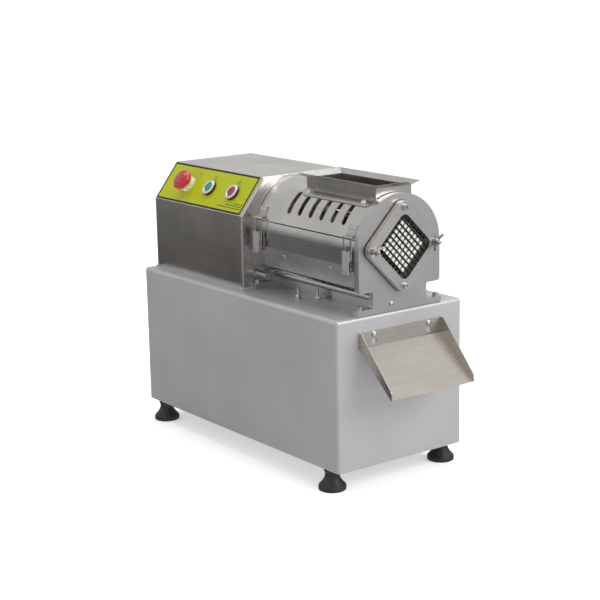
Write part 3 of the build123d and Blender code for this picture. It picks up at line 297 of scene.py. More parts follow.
def copies_tree():
    """Node tree: one piece set on every point, faced along the point's own direction."""
    tree = bpy.data.node_groups.new("copies_on_points", "GeometryNodeTree")
    face = tree.interface
    face.new_socket("Points", in_out="INPUT", socket_type="NodeSocketGeometry")
    face.new_socket("Piece", in_out="INPUT", socket_type="NodeSocketObject")
    face.new_socket("Most twist", in_out="INPUT", socket_type="NodeSocketFloat")
    face.new_socket("Seed", in_out="INPUT", socket_type="NodeSocketInt")
    face.new_socket("Finish", in_out="INPUT", socket_type="NodeSocketMaterial")
    face.new_socket("Pieces", in_out="OUTPUT", socket_type="NodeSocketGeometry")
    nodes, links = tree.nodes, tree.links
    given, result = nodes.new("NodeGroupInput"), nodes.new("NodeGroupOutput")
    piece = nodes.new("GeometryNodeObjectInfo")
    links.new(given.outputs["Piece"], piece.inputs["Object"])
    facing = nodes.new("GeometryNodeInputNamedAttribute")
    facing.data_type = "FLOAT_VECTOR"
    facing.inputs["Name"].default_value = "facing"
    align = nodes.new("FunctionNodeAlignRotationToVector")
    align.axis = "Z"
    links.new(facing.outputs["Attribute"], align.inputs["Vector"])
    chance = nodes.new("FunctionNodeRandomValue")
    chance.data_type = "FLOAT"
    links.new(given.outputs["Most twist"], chance.inputs[3])
    links.new(given.outputs["Seed"], chance.inputs["Seed"])
    twist = nodes.new("FunctionNodeAxisAngleToRotation")
    links.new(chance.outputs[1], twist.inputs["Angle"])
    turn = nodes.new("FunctionNodeRotateRotation")
    turn.rotation_space = "LOCAL"
    links.new(align.outputs["Rotation"], turn.inputs["Rotation"])
    links.new(twist.outputs["Rotation"], turn.inputs["Rotate By"])
    place = nodes.new("GeometryNodeInstanceOnPoints")
    links.new(given.outputs["Points"], place.inputs["Points"])
    links.new(piece.outputs["Geometry"], place.inputs["Instance"])
    links.new(turn.outputs["Rotation"], place.inputs["Rotation"])
    real = nodes.new("GeometryNodeRealizeInstances")
    links.new(place.outputs["Instances"], real.inputs["Geometry"])
    paint = nodes.new("GeometryNodeSetMaterial")
    links.new(real.outputs["Geometry"], paint.inputs["Geometry"])
    links.new(given.outputs["Finish"], paint.inputs["Material"])
    links.new(paint.outputs["Geometry"], result.inputs["Pieces"])
    return tree


def grown(name, tree, inputs, start=None):
    """Run a node tree once on a start mesh and keep the plain mesh that it makes."""
    seed = bpy.data.objects.new(name + "_seed", start or bpy.data.meshes.new(name + "_seed"))
    modifier = seed.modifiers.new("build", "NODES")
    modifier.node_group = tree
    sockets = {item.name: item.identifier for item in tree.interface.items_tree
               if item.item_type == "SOCKET" and item.in_out == "INPUT"}
    for label, value in inputs.items():
        modifier[sockets[label]] = value
    link(seed)
    bpy.context.view_layer.update()
    mesh = bpy.data.meshes.new_from_object(
        seed.evaluated_get(bpy.context.evaluated_depsgraph_get()))
    bpy.data.objects.remove(seed)
    mesh.name = name
    return link(bpy.data.objects.new(name, mesh))


copies = copies_tree()


def set_out(name, piece, places, material, twist=0.0, seed=1):
    """Copies of one piece at (point, direction) places; the piece itself is used up."""
    points = bpy.data.meshes.new(name + "_points")
    points.from_pydata([place for place, facing in places], [], [])
    facing = points.attributes.new("facing", "FLOAT_VECTOR", "POINT")
    for item, (place, direction) in zip(facing.data, places):
        item.vector = direction
    made = grown(name, copies, {"Piece": piece, "Most twist": twist, "Seed": seed,
                                "Finish": material}, points)
    bpy.data.objects.remove(piece)
    return made


foot_outline = [(0, 0), (0.0222, 0), (0.0236, 0.0010), (0.0240, 0.0028), (0.0240, 0.0042),
                (0.0236, 0.0046), (0.0240, 0.0050), (0.0239, 0.0072), (0.0232, 0.0090),
                (0.0220, 0.0104), (0.0214, 0.0106), (0.0207, 0.0117), (0.0176, 0.0150),
                (0.0150, 0.0190), (0.0131, 0.0232), (0.0123, 0.0270), (0.0127, 0.0305),
                (0.0140, 0.0340), (0.0145, 0.0352), (0.0142, 0.0359), (0, 0.0359)]
build = bmesh.new()
turned(build, foot_outline, 56)
foot = solid("foot", build, 50)
rubber = finish("black_rubber", (0.016, 0.016, 0.017), 0.48, grain=(500, 500, 500), spread=0.08,
                tint=0.2, bump=0.25, depth=0.0002)
places = [(((low + high) / 2).to_2d().to_3d(), Vector((0, 0, 1)))
          for low, high in solids_of("rubber_feet")]
feet = set_out("moulded_feet", foot, places, rubber, math.tau, 4)
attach(feet, "base")
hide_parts("rubber_feet")
zinc = finish("fastener_zinc", (0.62, 0.61, 0.60), 0.28, metallic=1.0, grain=(350, 350, 350),
              spread=0.08, tint=0.12, bump=0.2)
dress(zinc, "foot_bolts", "deck_bolts", "tie_rods", "hinge_pin", "knife_studs", "hopper_bolts",
      "pan_head_screws", "button_bezels")


# ---- drive housing ----
# Folded brushed stainless sheet: upright walls, a flat top and a sloping switch panel. Its
# rear is closed by a louvred cover, and a bead of sealant runs round its foot on the deck.
brushed = finish("brushed_stainless", (0.60, 0.585, 0.565), 0.24, metallic=1.0,
                 grain=(4, 700, 700), spread=0.03, tint=0.12, cloud_size=9, bump=0.05)
dress(brushed, "housing_shell", "housing_rear_cover")

housing_low, housing_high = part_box("housing_shell")
louvre_length = 0.118
louvre_rise = 0.0042
louvre_height = 0.0085
build = bmesh.new()
steps = 8
ends = 6
rows = []
for i in range(-ends, ends + 1):
    side = i / ends
    along = louvre_length / 2 * (1 - (1 - abs(side)) ** 2) * (1 if side >= 0 else -1)
    swell = math.sqrt(max(0.0, 1 - (along / (louvre_length / 2)) ** 8))
    row = []
    for k in range(steps + 1):
        bow = math.pi / 2 * k / steps
        row.append(build.verts.new((-louvre_rise * swell * math.cos(bow), along,
                                    louvre_height * math.sin(bow) * (0.35 + 0.65 * swell))))
    row.append(build.verts.new((0, along, 0)))
    rows.append(row)
stitch(build, rows)
for row in (rows[0], rows[-1]):
    build.faces.new(row)
bmesh.ops.remove_doubles(build, verts=build.verts, dist=1e-7)
hood = solid("hood", build, 60)


def row_tree():
    """Node tree: a straight row of one piece, from a start point, at a steady pitch."""
    tree = bpy.data.node_groups.new("row_of_pieces", "GeometryNodeTree")
    face = tree.interface
    for label, kind in (("Count", "Int"), ("First", "Vector"), ("Pitch", "Vector"),
                        ("Piece", "Object"), ("Finish", "Material")):
        face.new_socket(label, in_out="INPUT", socket_type="NodeSocket" + kind)
    face.new_socket("Pieces", in_out="OUTPUT", socket_type="NodeSocketGeometry")
    nodes, links = tree.nodes, tree.links
    given, result = nodes.new("NodeGroupInput"), nodes.new("NodeGroupOutput")
    line = nodes.new("GeometryNodeMeshLine")
    line.mode = "OFFSET"
    links.new(given.outputs["Count"], line.inputs["Count"])
    links.new(given.outputs["First"], line.inputs["Start Location"])
    links.new(given.outputs["Pitch"], line.inputs["Offset"])
    piece = nodes.new("GeometryNodeObjectInfo")
    links.new(given.outputs["Piece"], piece.inputs["Object"])
    place = nodes.new("GeometryNodeInstanceOnPoints")
    links.new(line.outputs["Mesh"], place.inputs["Points"])
    links.new(piece.outputs["Geometry"], place.inputs["Instance"])
    real = nodes.new("GeometryNodeRealizeInstances")
    links.new(place.outputs["Instances"], real.inputs["Geometry"])
    paint = nodes.new("GeometryNodeSetMaterial")
    links.new(real.outputs["Geometry"], paint.inputs["Geometry"])
    links.new(given.outputs["Finish"], paint.inputs["Material"])
    links.new(paint.outputs["Geometry"], result.inputs["Pieces"])
    return tree


rows_of = row_tree()
cover_low, cover_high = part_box("housing_rear_cover")
louvres = grown("louvre_hoods", rows_of, {
    "Count": 6, "First": (cover_low.x, 0, housing_low.z + 0.0575), "Pitch": (0, 0, 0.014),
    "Piece": hood, "Finish": brushed})
bpy.data.objects.remove(hood)
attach(louvres, "base")

bead_r = 0.0028
build = bmesh.new()
corners = [(cover_low.x, housing_low.y), (housing_high.x, housing_low.y),
           (housing_high.x, housing_high.y), (cover_low.x, housing_high.y)]
outward = [(-1, -1), (1, -1), (1, 1), (-1, 1)]
sections = []
for (x, y), (dx, dy) in zip(corners, outward):
    section = [(0, 0)] + [(bead_r * math.cos(a), bead_r * math.sin(a))
                          for a in (math.pi / 2 * k / 5 for k in range(6))]
    sections.append([build.verts.new((x + dx * out, y + dy * out, housing_low.z + up))
                     for out, up in section])
stitch(build, sections, closed=True)
bead = solid("sealant_bead", build, 60)
sealant = finish("clear_sealant", (0.40, 0.40, 0.385), 0.30, grain=(120, 120, 60), spread=0.08,
                 tint=0.08, bump=0.4, depth=0.0003, specular=0.6)
bead.data.materials.append(sealant)
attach(bead, "base")


# ---- pan-head screws ----
# Six identical cross-recess screws: four hold the rear cover and two carry the chute.
def cut(piece, tool):
    """Subtract one closed mesh from another, for a recess or a socket."""
    less = piece.modifiers.new("recess", "BOOLEAN")
    less.object = tool
    less.operation = "DIFFERENCE"
    less.solver = "EXACT"
    bpy.context.view_layer.update()
    mesh = bpy.data.meshes.new_from_object(
        piece.evaluated_get(bpy.context.evaluated_depsgraph_get()))
    piece.modifiers.clear()
    piece.data = mesh
    mesh.set_sharp_from_angle(angle=math.radians(38))
    bpy.data.objects.remove(tool)
    return piece


def domed(radius, height, shank, shank_length, flat=0.35):
    """Outline of a round screw head with its shank below; the head's seat is at height 0."""
    dome = [(radius * math.cos(a), height * flat + height * (1 - flat) * math.sin(a))
            for a in (math.pi / 2 * k / 7 for k in range(7))]
    return [(0, -shank_length), (shank, -shank_length), (shank, 0), (radius * 0.97, 0)] + dome + [
        (0, height)]


def recess(name, width, depth, height, cross=False):
    """A cross or hexagon tool that cuts a drive recess from above."""
    half, thin = width / 2, width * 0.12
    quarter = [(half, -thin), (half, thin), (thin, thin)]
    outline = [(width * math.cos(math.tau * k / 6), width * math.sin(math.tau * k / 6))
               for k in range(6)]
    if cross:
        outline = [(Matrix.Rotation(math.tau * k / 4, 2) @ Vector(point)).to_tuple()
                   for k in range(4) for point in quarter]
    build = bmesh.new()
    floor, top = ([build.verts.new((x, y, z)) for x, y in outline]
                  for z in (height - depth, height + depth))
    build.faces.new(floor)
    build.faces.new(top)
    for k in range(len(outline)):
        build.faces.new((floor[k - 1], floor[k], top[k], top[k - 1]))
    return solid(name, build)


def pan_head(radius=0.005, height=0.003, shank=0.0025, shank_length=0.006, drive=0.0052,
             depth=0.0016):
    """One screw, ready to be set out."""
    build = bmesh.new()
    turned(build, domed(radius, height, shank, shank_length), 40)
    return cut(solid("screw", build), recess("tool", drive, depth, height, cross=True))


screw_boxes = solids_of("pan_head_screws")
rear_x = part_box("housing_rear_cover")[0].x
places = []
for low, high in screw_boxes:
    middle = (low + high) / 2
    rearward = middle.x < 0
    seat = rear_x if rearward else high.x - 0.003
    places.append(((seat, middle.y, middle.z), (-1.0 if rearward else 1.0, 0, 0)))
screws = set_out("cross_recess_screws", pan_head(), places, zinc, math.tau, 11)
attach(screws, "base")
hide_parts("pan_head_screws")


# ---- switch panel ----
# A printed yellow-green vinyl overlay on the slope, with a black printed border, three fine
# rules near its lower front corner and a plain sign above each control.
joints = {joint["name"]: joint for joint in frame["joints"]}
outward = -Vector(joints["estop_push"]["axis"])
along = Vector((1, 0, 0))
uphill = outward.cross(along)
overlay_low, overlay_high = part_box("panel_overlay")
overlay_t = 0.0008
corner = Vector((overlay_low.x, overlay_low.y, overlay_low.z + overlay_t * outward.z))
panel_length = overlay_high.x - overlay_low.x
panel_height = (overlay_high.z - corner.z) / uphill.z
tilt = Matrix((along, uphill, outward)).transposed().to_4x4()
overlay_face = Matrix.Translation(corner) @ tilt
vinyl = finish("overlay_vinyl", (0.42, 0.46, 0.006), 0.36, grain=(240, 240, 240), spread=0.05,
               tint=0.05, bump=0.12, coat=0.08, coat_roughness=0.3, specular=0.25)
dress(vinyl, "panel_overlay")
ink = finish("black_ink", (0.016, 0.016, 0.014), 0.45, grain=(300, 300, 300), tint=0.2,
             specular=0.2)
ink_t = 0.00016


def slab(build, u0, u1, v0, v1, matrix, thickness=ink_t):
    """A thin printed bar on the overlay between two corners."""
    size = Matrix.Diagonal((u1 - u0, v1 - v0, thickness, 1))
    bmesh.ops.create_cube(build, size=1.0, matrix=matrix @ Matrix.Translation(
        ((u0 + u1) / 2, (v0 + v1) / 2, thickness / 2)) @ size)


def frame_of(build, length, height, width, matrix):
    """A mitred printed border round the overlay."""
    rings = []
    for inset in (0, width):
        for lift in (0, ink_t):
            rings.append([build.verts.new(matrix @ Vector((u, v, lift))) for u, v in (
                (inset, inset), (length - inset, inset), (length - inset, height - inset),
                (inset, height - inset))])
    low_out, high_out, low_in, high_in = rings
    stitch(build, [low_out, high_out, high_in, low_in], closed=True)


build = bmesh.new()
frame_of(build, panel_length, panel_height, 0.0034, overlay_face)
for row, length in enumerate((0.074, 0.050, 0.026)):
    end = panel_length - 0.0060
    v = 0.0095 + 0.0046 * row
    slab(build, end - length, end, v, v + 0.0011, overlay_face)
border = solid("printed_border", build)
border.data.materials.append(ink)
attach(border, "base")


def centre_of(node):
    """A control's centre, dropped square onto the overlay's face."""
    low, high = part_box(node)
    middle = (low + high) / 2
    return middle - outward * (middle - corner).dot(outward)


def panel_matrix(node):
    """Frame at a control's centre on the overlay, with Z square to the panel."""
    return Matrix.Translation(centre_of(node)) @ tilt


stop_sign = panel_matrix("stop_button")
start_sign = panel_matrix("start_button")
halt_sign = panel_matrix("estop_mushroom") @ Matrix.Translation((0.019, 0.0255, 0))
build = bmesh.new()
ring_outline = [(0.0026, 0), (0.0034, 0), (0.0034, ink_t), (0.0026, ink_t)]
turned(build, ring_outline, 32, stop_sign @ Matrix.Translation((0, 0.0235, 0)), ring=True)
slab(build, -0.0005, 0.0005, 0.0205, 0.0268, start_sign)
signs = solid("control_signs", build)
signs.data.materials.append(ink)
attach(signs, "base")
build = bmesh.new()
turned(build, ring_outline, 32, halt_sign, ring=True)
turned(build, [(0, 0), (0.0011, 0), (0.0011, ink_t), (0, ink_t)], 20, halt_sign)
halt = solid("halt_sign", build)
halt.data.materials.append(finish("red_ink", (0.52, 0.10, 0.02), 0.4, tint=0.1))
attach(halt, "base")


# ---- emergency stop ----
# A glossy red mushroom head on a round stem, over a pale ribbed collar screwed through the
# panel. Pressing it latches; a twist to the right lets it spring out again.
gloss_red = finish("gloss_red_plastic", (0.40, 0.010, 0.020), 0.22, grain=(90, 90, 90),
                   spread=0.05, tint=0.12, bump=0.05, coat=0.6, coat_roughness=0.06)
ivory = finish("ivory_plastic", (0.66, 0.64, 0.40), 0.38, grain=(160, 160, 160), tint=0.08,
               bump=0.1)


def lathe(name, outline, matrix, material, body, node, sides=56, ring=False, smooth=38):
    """A turned piece on the panel that stands for one CAD node."""
    build = bmesh.new()
    turned(build, outline, sides, matrix, ring)
    piece = solid(name, build, smooth)
    piece.data.materials.append(material)
    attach(piece, body)
    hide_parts(node)
    return piece


def arc(centre, radius, first, last, steps=8):
    """Points (radius, height) on an arc of an outline, angles in degrees."""
    return [(centre[0] + radius * math.cos(math.radians(first + (last - first) * k / steps)),
             centre[1] + radius * math.sin(math.radians(first + (last - first) * k / steps)))
            for k in range(steps + 1)]


head_low = 0.0136
head_high = 0.0260
crown = [(0, head_low), (0.0165, head_low), (0.0170, head_low + 0.0006),
         (0.0192, head_low + 0.0010)]
crown += arc((0.0188, head_low + 0.0028), 0.0012, -60, 10, 4)
crown += arc((0.0140, head_low + 0.0052), 0.0059, 5, 72, 8)
crown += [(0.0150, head_high - 0.0014), (0.0142, head_high - 0.0020), (0.0132, head_high - 0.0020),
          (0.0124, head_high - 0.0011), (0.0112, head_high - 0.0005), (0.0080, head_high - 0.0001),
          (0.0, head_high)]
lathe("red_mushroom", crown, panel_matrix("estop_mushroom"), gloss_red, "estop_mushroom",
      "estop_mushroom", 72)
collar = [(0.0066, -0.0128), (0.0110, -0.0128), (0.0110, 0), (0.0155, 0), (0.0155, 0.0014),
          (0.0149, 0.0018), (0.0149, 0.0026), (0.0155, 0.0030), (0.0153, 0.0052), (0.0146, 0.0056),
          (0.0146, 0.0064), (0.0150, 0.0068), (0.0146, 0.0086), (0.0138, 0.0090), (0.0066, 0.0090)]
lathe("ribbed_collar", collar, panel_matrix("estop_collar"), ivory, "base", "estop_collar",
      64, ring=True)
dress(finish("dark_stem_plastic", (0.03, 0.03, 0.03), 0.4, tint=0.2), "estop_stem")


# ---- start and stop buttons ----
# Two round push buttons: a bright turned bezel on a black collar, with a green cap for start
# and a red cap for stop, each slightly dished and pushed back by a spring.
black = finish("black_plastic", (0.018, 0.018, 0.019), 0.40, grain=(220, 220, 220), tint=0.2,
               bump=0.15)
silver = finish("bezel_silver", (0.80, 0.80, 0.80), 0.22, metallic=0.9, grain=(200, 200, 200),
                tint=0.06, bump=0.1)
cap_green = finish("green_cap_plastic", (0.010, 0.235, 0.125), 0.30, tint=0.15, coat=0.3,
                   grain=(90, 90, 90), bump=0.08)
cap_red = finish("red_cap_plastic", (0.28, 0.010, 0.030), 0.30, tint=0.15, coat=0.3,
                 grain=(90, 90, 90), bump=0.08)
bezel = ([(0.0094, 0.0048), (0.0144, 0.0048), (0.0148, 0.0052), (0.0148, 0.0060)]
         + arc((0.0134, 0.0056), 0.0014, 20, 90, 5) + [(0.0112, 0.0066), (0.0100, 0.0069)]
         + [(0.0094, 0.0064)])
under = [(0.0094, -0.0118), (0.0110, -0.0118), (0.0110, 0), (0.0151, 0), (0.0151, 0.0012),
         (0.0145, 0.0016), (0.0145, 0.0048), (0.0094, 0.0048)]
build = bmesh.new()
for node in ("start_button", "stop_button"):
    turned(build, bezel, 56, panel_matrix(node), ring=True)
bezels = solid("bright_bezels", build)
bezels.data.materials.append(silver)
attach(bezels, "base")
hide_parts("button_bezels")
build = bmesh.new()
for node in ("start_button", "stop_button"):
    turned(build, under, 48, panel_matrix(node), ring=True)
collars = solid("black_collars", build)
collars.data.materials.append(black)
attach(collars, "base")
cap = [(0, -0.0085), (0.0030, -0.0085), (0.0030, -0.0004), (0.0088, -0.0004), (0.0088, 0.0062),
       (0.0085, 0.0069), (0.0079, 0.0072), (0.0066, 0.0069), (0.0035, 0.0066), (0, 0.0065)]
lathe("green_start_cap", cap, panel_matrix("start_button"), cap_green, "start_button",
      "start_button")
lathe("red_stop_cap", cap, panel_matrix("stop_button"), cap_red, "stop_button",
      "stop_button")
dress(black, "switch_blocks", "contactor")


# ---- end plates, tie rods and bed ----
# Two thick plates, sawn and ground to a silky grey, stand on the deck and carry the barrel.
# Round tie rods and a folded channel run between them; cap screws hold their feet down.
plate = finish("ground_end_plate", (0.52, 0.51, 0.505), 0.36, metallic=0.95,
               grain=(190, 190, 190), spread=0.05, tint=0.05, cloud_size=14, bump=0.08)
dress(plate, "rear_end_plate", "front_end_plate")
dress(brushed, "bed_channel")

thread_core = 0.84


def thread_tree():
    """Node tree: a threaded rod standing on the origin, cut off flat at both ends."""
    tree = bpy.data.node_groups.new("threaded_rod", "GeometryNodeTree")
    face = tree.interface
    for label, kind in (("Radius", "Float"), ("Pitch", "Float"), ("Length", "Float"),
                        ("Finish", "Material")):
        face.new_socket(label, in_out="INPUT", socket_type="NodeSocket" + kind)
    face.new_socket("Rod", in_out="OUTPUT", socket_type="NodeSocketGeometry")
    nodes, links = tree.nodes, tree.links
    given, result = nodes.new("NodeGroupInput"), nodes.new("NodeGroupOutput")

    def sum_of(operation, one, two):
        step = nodes.new("ShaderNodeMath")
        step.operation = operation
        for index, value in enumerate((one, two)):
            if isinstance(value, float):
                step.inputs[index].default_value = value
            else:
                links.new(value, step.inputs[index])
        return step.outputs[0]

    run = sum_of("SUBTRACT", given.outputs["Length"], given.outputs["Pitch"])
    turns = sum_of("DIVIDE", run, given.outputs["Pitch"])
    coil_r = sum_of("MULTIPLY", given.outputs["Radius"], 0.90)
    spiral = nodes.new("GeometryNodeCurveSpiral")
    spiral.inputs["Resolution"].default_value = 14
    links.new(turns, spiral.inputs["Rotations"])
    links.new(coil_r, spiral.inputs["Start Radius"])
    links.new(coil_r, spiral.inputs["End Radius"])
    links.new(run, spiral.inputs["Height"])
    lift = nodes.new("GeometryNodeTransform")
    links.new(spiral.outputs["Curve"], lift.inputs["Geometry"])
    rise = nodes.new("ShaderNodeCombineXYZ")
    links.new(sum_of("MULTIPLY", given.outputs["Pitch"], 0.5), rise.inputs["Z"])
    links.new(rise.outputs[0], lift.inputs["Translation"])
    crest = nodes.new("GeometryNodeCurvePrimitiveCircle")
    crest.inputs["Resolution"].default_value = 4
    links.new(sum_of("MULTIPLY", given.outputs["Pitch"], 0.36), crest.inputs["Radius"])
    ridge = nodes.new("GeometryNodeCurveToMesh")
    ridge.inputs["Fill Caps"].default_value = True
    links.new(lift.outputs["Geometry"], ridge.inputs["Curve"])
    links.new(crest.outputs["Curve"], ridge.inputs["Profile Curve"])
    core = nodes.new("GeometryNodeMeshCylinder")
    core.inputs["Vertices"].default_value = 20
    links.new(sum_of("MULTIPLY", given.outputs["Radius"], thread_core), core.inputs["Radius"])
    links.new(given.outputs["Length"], core.inputs["Depth"])
    stand = nodes.new("GeometryNodeTransform")
    links.new(core.outputs["Mesh"], stand.inputs["Geometry"])
    half = nodes.new("ShaderNodeCombineXYZ")
    links.new(sum_of("MULTIPLY", given.outputs["Length"], 0.5), half.inputs["Z"])
    links.new(half.outputs[0], stand.inputs["Translation"])
    both = nodes.new("GeometryNodeJoinGeometry")
    links.new(stand.outputs["Geometry"], both.inputs["Geometry"])
    links.new(ridge.outputs["Mesh"], both.inputs["Geometry"])
    real = nodes.new("GeometryNodeRealizeInstances")
    links.new(both.outputs["Geometry"], real.inputs["Geometry"])
    paint = nodes.new("GeometryNodeSetMaterial")
    links.new(real.outputs["Geometry"], paint.inputs["Geometry"])
    links.new(given.outputs["Finish"], paint.inputs["Material"])
    links.new(paint.outputs["Geometry"], result.inputs["Rod"])
    return tree


threads = thread_tree()


def join(name, *pieces):
    """Join loose pieces into one mesh."""
    build = bmesh.new()
    for piece in pieces:
        build.from_mesh(piece.data)
        bpy.data.objects.remove(piece)
    return solid(name, build)


def hex_nut(build, flat_r, low, high, bore):
    """A chamfered hexagon nut round a bore."""
    crown = (high - low) * 0.16
    turned(build, [(bore, low), (flat_r * 0.90, low), (flat_r, low + crown),
                   (flat_r, high - crown), (flat_r * 0.90, high), (bore, high)], 6, ring=True)


bolt_boxes = solids_of("deck_bolts")
deck_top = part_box("base_shell")[1].z
studs = [box for box in bolt_boxes if 0.05 < box[0].x < 0.15]
feet_screws = [box for box in bolt_boxes if abs((box[0].y + box[1].y) / 2) > 0.08]
ground_screw = [box for box in bolt_boxes if box not in studs and box not in feet_screws]
stud_length = studs[0][1].z - deck_top
rod = grown("rod", threads, {"Radius": 0.003, "Pitch": 0.001, "Length": stud_length,
                             "Finish": zinc})
build = bmesh.new()
turned(build, [(0.0031, 0), (0.0072, 0), (0.0072, 0.0014), (0.0031, 0.0014)], 32, ring=True)
hex_nut(build, 0.0056, 0.0014, 0.0064, 0.0029)
stud = join("stud", rod, solid("nut", build, 25))
places = [((low.x / 2 + high.x / 2, low.y / 2 + high.y / 2, deck_top), (0, 0, 1))
          for low, high in studs]
motor_studs = set_out("motor_studs", stud, places, zinc, math.tau, 3)
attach(motor_studs, "base")
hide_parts("deck_bolts")


def cap_screw(name, radius, height, socket, shank, shank_length):
    """A cylindrical head with a hexagon socket, and its shank below."""
    build = bmesh.new()
    rim = 0.0005
    turned(build, [(0, -shank_length), (shank, -shank_length), (shank, 0), (radius, 0),
                   (radius, height - rim), (radius - rim, height), (0, height)], 40)
    return cut(solid(name, build), recess("socket", socket, height * 0.55, height))


places = [((low.x / 2 + high.x / 2, low.y / 2 + high.y / 2, high.z - 0.006), (0, 0, 1))
          for low, high in feet_screws]
foot_screws = set_out("plate_foot_screws", cap_screw("cap", 0.005, 0.006, 0.0029, 0.003, 0.008),
                      places, zinc, math.tau, 6)
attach(foot_screws, "base")
low, high = ground_screw[0]
middle = (low + high) / 2
earth = set_out("plate_ground_screw", pan_head(0.0044, 0.0034, 0.002, 0.001, 0.0046, 0.0014),
                [((low.x, middle.y, middle.z), (1, 0, 0))], zinc, math.tau, 2)
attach(earth, "base")


# ---- barrel shells ----
# Thin brushed sheet wraps the end plates: fixed side shells below the seam and a half-round
# cover with six cooling slots above it. The side shells are held by small socket screws.
barrel = finish("barrel_sheet", (0.62, 0.61, 0.595), 0.24, metallic=1.0, grain=(5, 600, 600),
                spread=0.03, tint=0.09, cloud_size=13, bump=0.05)
dress(barrel, "side_shells", "barrel_cover")
shell_low, shell_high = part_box("side_shells")
button = domed(0.0034, 0.0018, 0.002, 0.0015, 0.3)
fold_above_edge = 0.038
fold_angle = math.radians(14)
screw_below_fold = 0.011
places = []
for share in (0.28, 0.75):
    x = shell_low.x + share * (shell_high.x - shell_low.x)
    for y, way in ((shell_low.y, -1), (shell_high.y, 1)):
        places.append(((x, y - way * screw_below_fold * math.tan(fold_angle),
                        shell_low.z + fold_above_edge - screw_below_fold),
                       (0, way * math.cos(fold_angle), -math.sin(fold_angle))))
build = bmesh.new()
turned(build, button, 32)
side_screws = set_out("side_shell_screws",
                      cut(solid("screw", build), recess("socket", 0.0018, 0.0012, 0.0018)),
                      places, zinc, math.tau, 8)
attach(side_screws, "base")


# ---- hopper ----
# Four sheets seam-welded to a narrow throat with a flared lip, on a saddle-shaped skirt that
# is bolted through the cover with four round-head screws.
hopper_sheet = finish("hopper_sheet", (0.56, 0.545, 0.52), 0.24, metallic=1.0,
                      grain=(6, 600, 600), spread=0.04, tint=0.10, cloud_size=15, bump=0.05)
dress(hopper_sheet, "hopper")
barrel_r = shell_high.y
axis_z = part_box("barrel_cover")[1].z - barrel_r
seat_r = barrel_r + 0.0016
places = []
for low, high in solids_of("hopper_bolts"):
    middle = (low + high) / 2
    ray = Vector((0, middle.y, middle.z - axis_z)).normalized()
    places.append(((middle.x, ray.y * seat_r, axis_z + ray.z * seat_r), tuple(ray)))
bright_zinc = finish("bright_zinc", (0.80, 0.79, 0.78), 0.34, metallic=0.6, grain=(350, 350, 350),
                     tint=0.10, bump=0.1)
hopper_screws = set_out("hopper_screws", pan_head(0.0045, 0.0034, drive=0.0048, depth=0.0018),
                        places, bright_zinc, math.tau, 9)
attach(hopper_screws, "cover")
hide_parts("hopper_bolts")


# ---- knife cassette ----
# A square frame stood on its corner holds two layers of crossed steel strips that two socket
# screws clamp. A thin black rubber ring behind it, a little proud of its edge, is painted
# shade for the contact shadow where it meets the plate; two studs with wing nuts hold it.
dress(finish("knife_frame_steel", (0.56, 0.55, 0.535), 0.32, metallic=0.95,
             grain=(210, 210, 210), spread=0.06, tint=0.06, cloud_size=20, bump=0.08),
      "knife_frame")
# The crossed steel strips get a near-black colour: painted shade and painted dark reflection on
# what is bright steel.
dress(finish("blade_steel", (0.10, 0.095, 0.09), 0.30, metallic=0.8, grain=(400, 30, 30),
             spread=0.08, tint=0.25, bump=0.10), "knife_blades")
dress(zinc, "knife_screws")
stud_boxes = solids_of("knife_studs")
plate_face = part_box("front_end_plate")[1].x
stud_length = stud_boxes[0][1].x - plate_face
rod = grown("rod", threads, {"Radius": 0.003, "Pitch": 0.001, "Length": stud_length,
                             "Finish": zinc})
places = [((plate_face, (low.y + high.y) / 2, (low.z + high.z) / 2), (1, 0, 0))
          for low, high in stud_boxes]
knife_studs = set_out("knife_studs_threaded", rod, places, zinc, 0.0, 5)
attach(knife_studs, "base")
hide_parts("knife_studs")


def diamond_row(build, x, side, corner_r):
    """A ring of points: a square with rounded corners stood on one corner, at one X."""
    row = []
    inset = side / 2 - corner_r
    for k in range(36):
        turn = math.tau * k / 36 + math.pi / 36
        u = math.copysign(inset, math.cos(turn)) + corner_r * math.cos(turn)
        v = math.copysign(inset, math.sin(turn)) + corner_r * math.sin(turn)
        row.append(build.verts.new((x, (u - v) * math.sqrt(0.5),
                                    axis_z + (u + v) * math.sqrt(0.5))))
    return row


frame_corner_r = 0.016
frame_side = math.sqrt(2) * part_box("knife_frame")[1].y + (2 - math.sqrt(2)) * frame_corner_r
# A black rubber ring just proud of the frame's outline: painted shade for the contact shadow
# between the frame and the plate.
shade_ring_t = 0.0016
shade_ring_proud = 0.0008
shade_ring_inset = 0.004
build = bmesh.new()
rows = []
for x, grow in ((plate_face, shade_ring_proud), (plate_face + shade_ring_t, shade_ring_proud),
                (plate_face + shade_ring_t, -shade_ring_inset), (plate_face, -shade_ring_inset)):
    rows.append(diamond_row(build, x, frame_side + 2 * grow, frame_corner_r + grow))
stitch(build, rows, closed=True)
shade_ring = solid("knife_seal", build)
shade_ring.data.materials.append(rubber)
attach(shade_ring, "knife")


